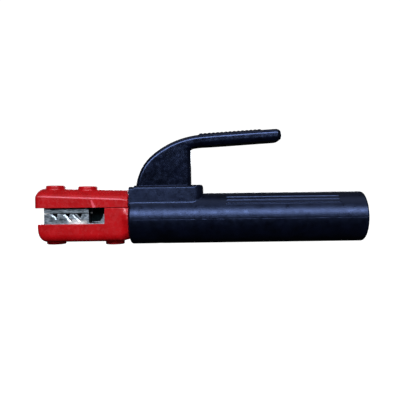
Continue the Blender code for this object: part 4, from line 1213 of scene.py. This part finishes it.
def make_floor():
    """A pale sweep: a flat floor that curves up into a backdrop far behind."""
    shape = bmesh.new()
    profile = [(FLOOR_FRONT, 0.0), (SWEEP_START, 0.0)]
    for k in range(1, 13):
        angle = math.pi / 2 * k / 12
        rise = SWEEP_RADIUS * (1 - math.cos(angle))
        profile.append((SWEEP_START + SWEEP_RADIUS * math.sin(angle), rise))
    profile.append((SWEEP_START + SWEEP_RADIUS, SWEEP_TOP))
    sides = (-FLOOR_HALF_WIDTH, FLOOR_HALF_WIDTH)
    rows = [[shape.verts.new((x, y, z)) for y, z in profile] for x in sides]
    for k in range(len(profile) - 1):
        shape.faces.new((rows[0][k], rows[1][k], rows[1][k + 1], rows[0][k + 1]))
    mesh = bpy.data.meshes.new("floor")
    shape.to_mesh(mesh)
    shape.free()
    mesh.shade_smooth()
    floor = bpy.data.objects.new("floor", mesh)
    bpy.context.scene.collection.objects.link(floor)
    m = Nodes("floor_white")
    m.shader.inputs["Emission Strength"].default_value = FLOOR_GLOW
    m.shader.inputs["Emission Color"].default_value = (1, 1, 1, 1)
    mesh.materials.append(m.set(Base_Color=(0.12, 0.12, 0.12, 1), Roughness=1.0))
    floor.visible_diffuse = False
    floor.visible_glossy = False


def make_light(name, place, aim, size, power, colour):
    light = bpy.data.lights.new(name, "AREA")
    light.shape = "RECTANGLE"
    light.size, light.size_y = size
    light.energy = power
    light.color = colour
    lamp = bpy.data.objects.new(name, light)
    lamp.location = place
    direction = Vector(aim) - Vector(place)
    lamp.rotation_euler = direction.to_track_quat("-Z", "Y").to_euler()
    bpy.context.scene.collection.objects.link(lamp)
    return lamp


def make_lights():
    make_light("key", (0, -0.72, 0.40), (0, 0, 0.02), (1.3, 0.22), 10.5, COOL_WHITE)
    make_light("overhead", (0, -0.16, 0.85), (0, 0, 0.02), (1.3, 0.5), 1.4, COOL_WHITE)
    low = make_light("low_front", (0, -0.8, 0.05), (0, 0, 0.01), (1.2, 0.08), 1.2, WHITE)
    low.visible_glossy = False
    back = make_light("back", (0.1, 0.9, 0.6), (0, 0, 0.03), (1.2, 0.5), 6.0, WHITE)
    back.visible_glossy = False
    rim = make_light("low_back", (0, 1.0, 0.24), (0, 0, 0.03), (1.2, 0.2), 4.0, PALE_BLUE)
    rim.visible_camera = False
    world = bpy.data.worlds.new("studio")
    bpy.context.scene.world = world
    world.use_nodes = True
    tree = world.node_tree
    background = tree.nodes["Background"]
    coordinates = tree.nodes.new("ShaderNodeTexCoord")
    split = tree.nodes.new("ShaderNodeSeparateXYZ")
    tree.links.new(coordinates.outputs["Generated"], split.inputs[0])
    ramp = tree.nodes.new("ShaderNodeMapRange")
    tree.links.new(split.outputs["Z"], ramp.inputs["Value"])
    for name, number in WORLD_RAMP.items():
        ramp.inputs[name].default_value = number
    tree.links.new(ramp.outputs["Result"], background.inputs["Strength"])
    background.inputs["Color"].default_value = WORLD_COLOUR


def make_camera():
    camera = bpy.data.cameras.new("camera")
    camera.lens = CAMERA_LENS
    camera.sensor_width = 36
    camera.clip_start = 0.01
    shot = bpy.data.objects.new("camera", camera)
    shot.location = CAMERA_PLACE
    roll = math.radians(CAMERA_ROLL)
    upright_turn = Matrix.Rotation(math.pi / 2, 4, "X")
    shot.rotation_euler = (upright_turn @ Matrix.Rotation(-roll, 4, "Z")).to_euler()
    bpy.context.scene.collection.objects.link(shot)
    bpy.context.scene.camera = shot


make_camera()
make_handle()
make_lower_insulator()
make_upper_insulator()
make_thumb_lever()
make_castings()
make_spring()
for place, (x, rim) in LOWER_COLLARS.items():
    make_screw(f"lower_insulator_screw_{place}", "holder", x, rim, -1)
for place, (x, rim) in UPPER_COLLARS.items():
    make_screw(f"upper_insulator_screw_{place}", "lever", x, rim, 1)
finish_cad_nodes()
make_floor()
make_lights()
bpy.context.scene.view_settings.view_transform = "Standard"
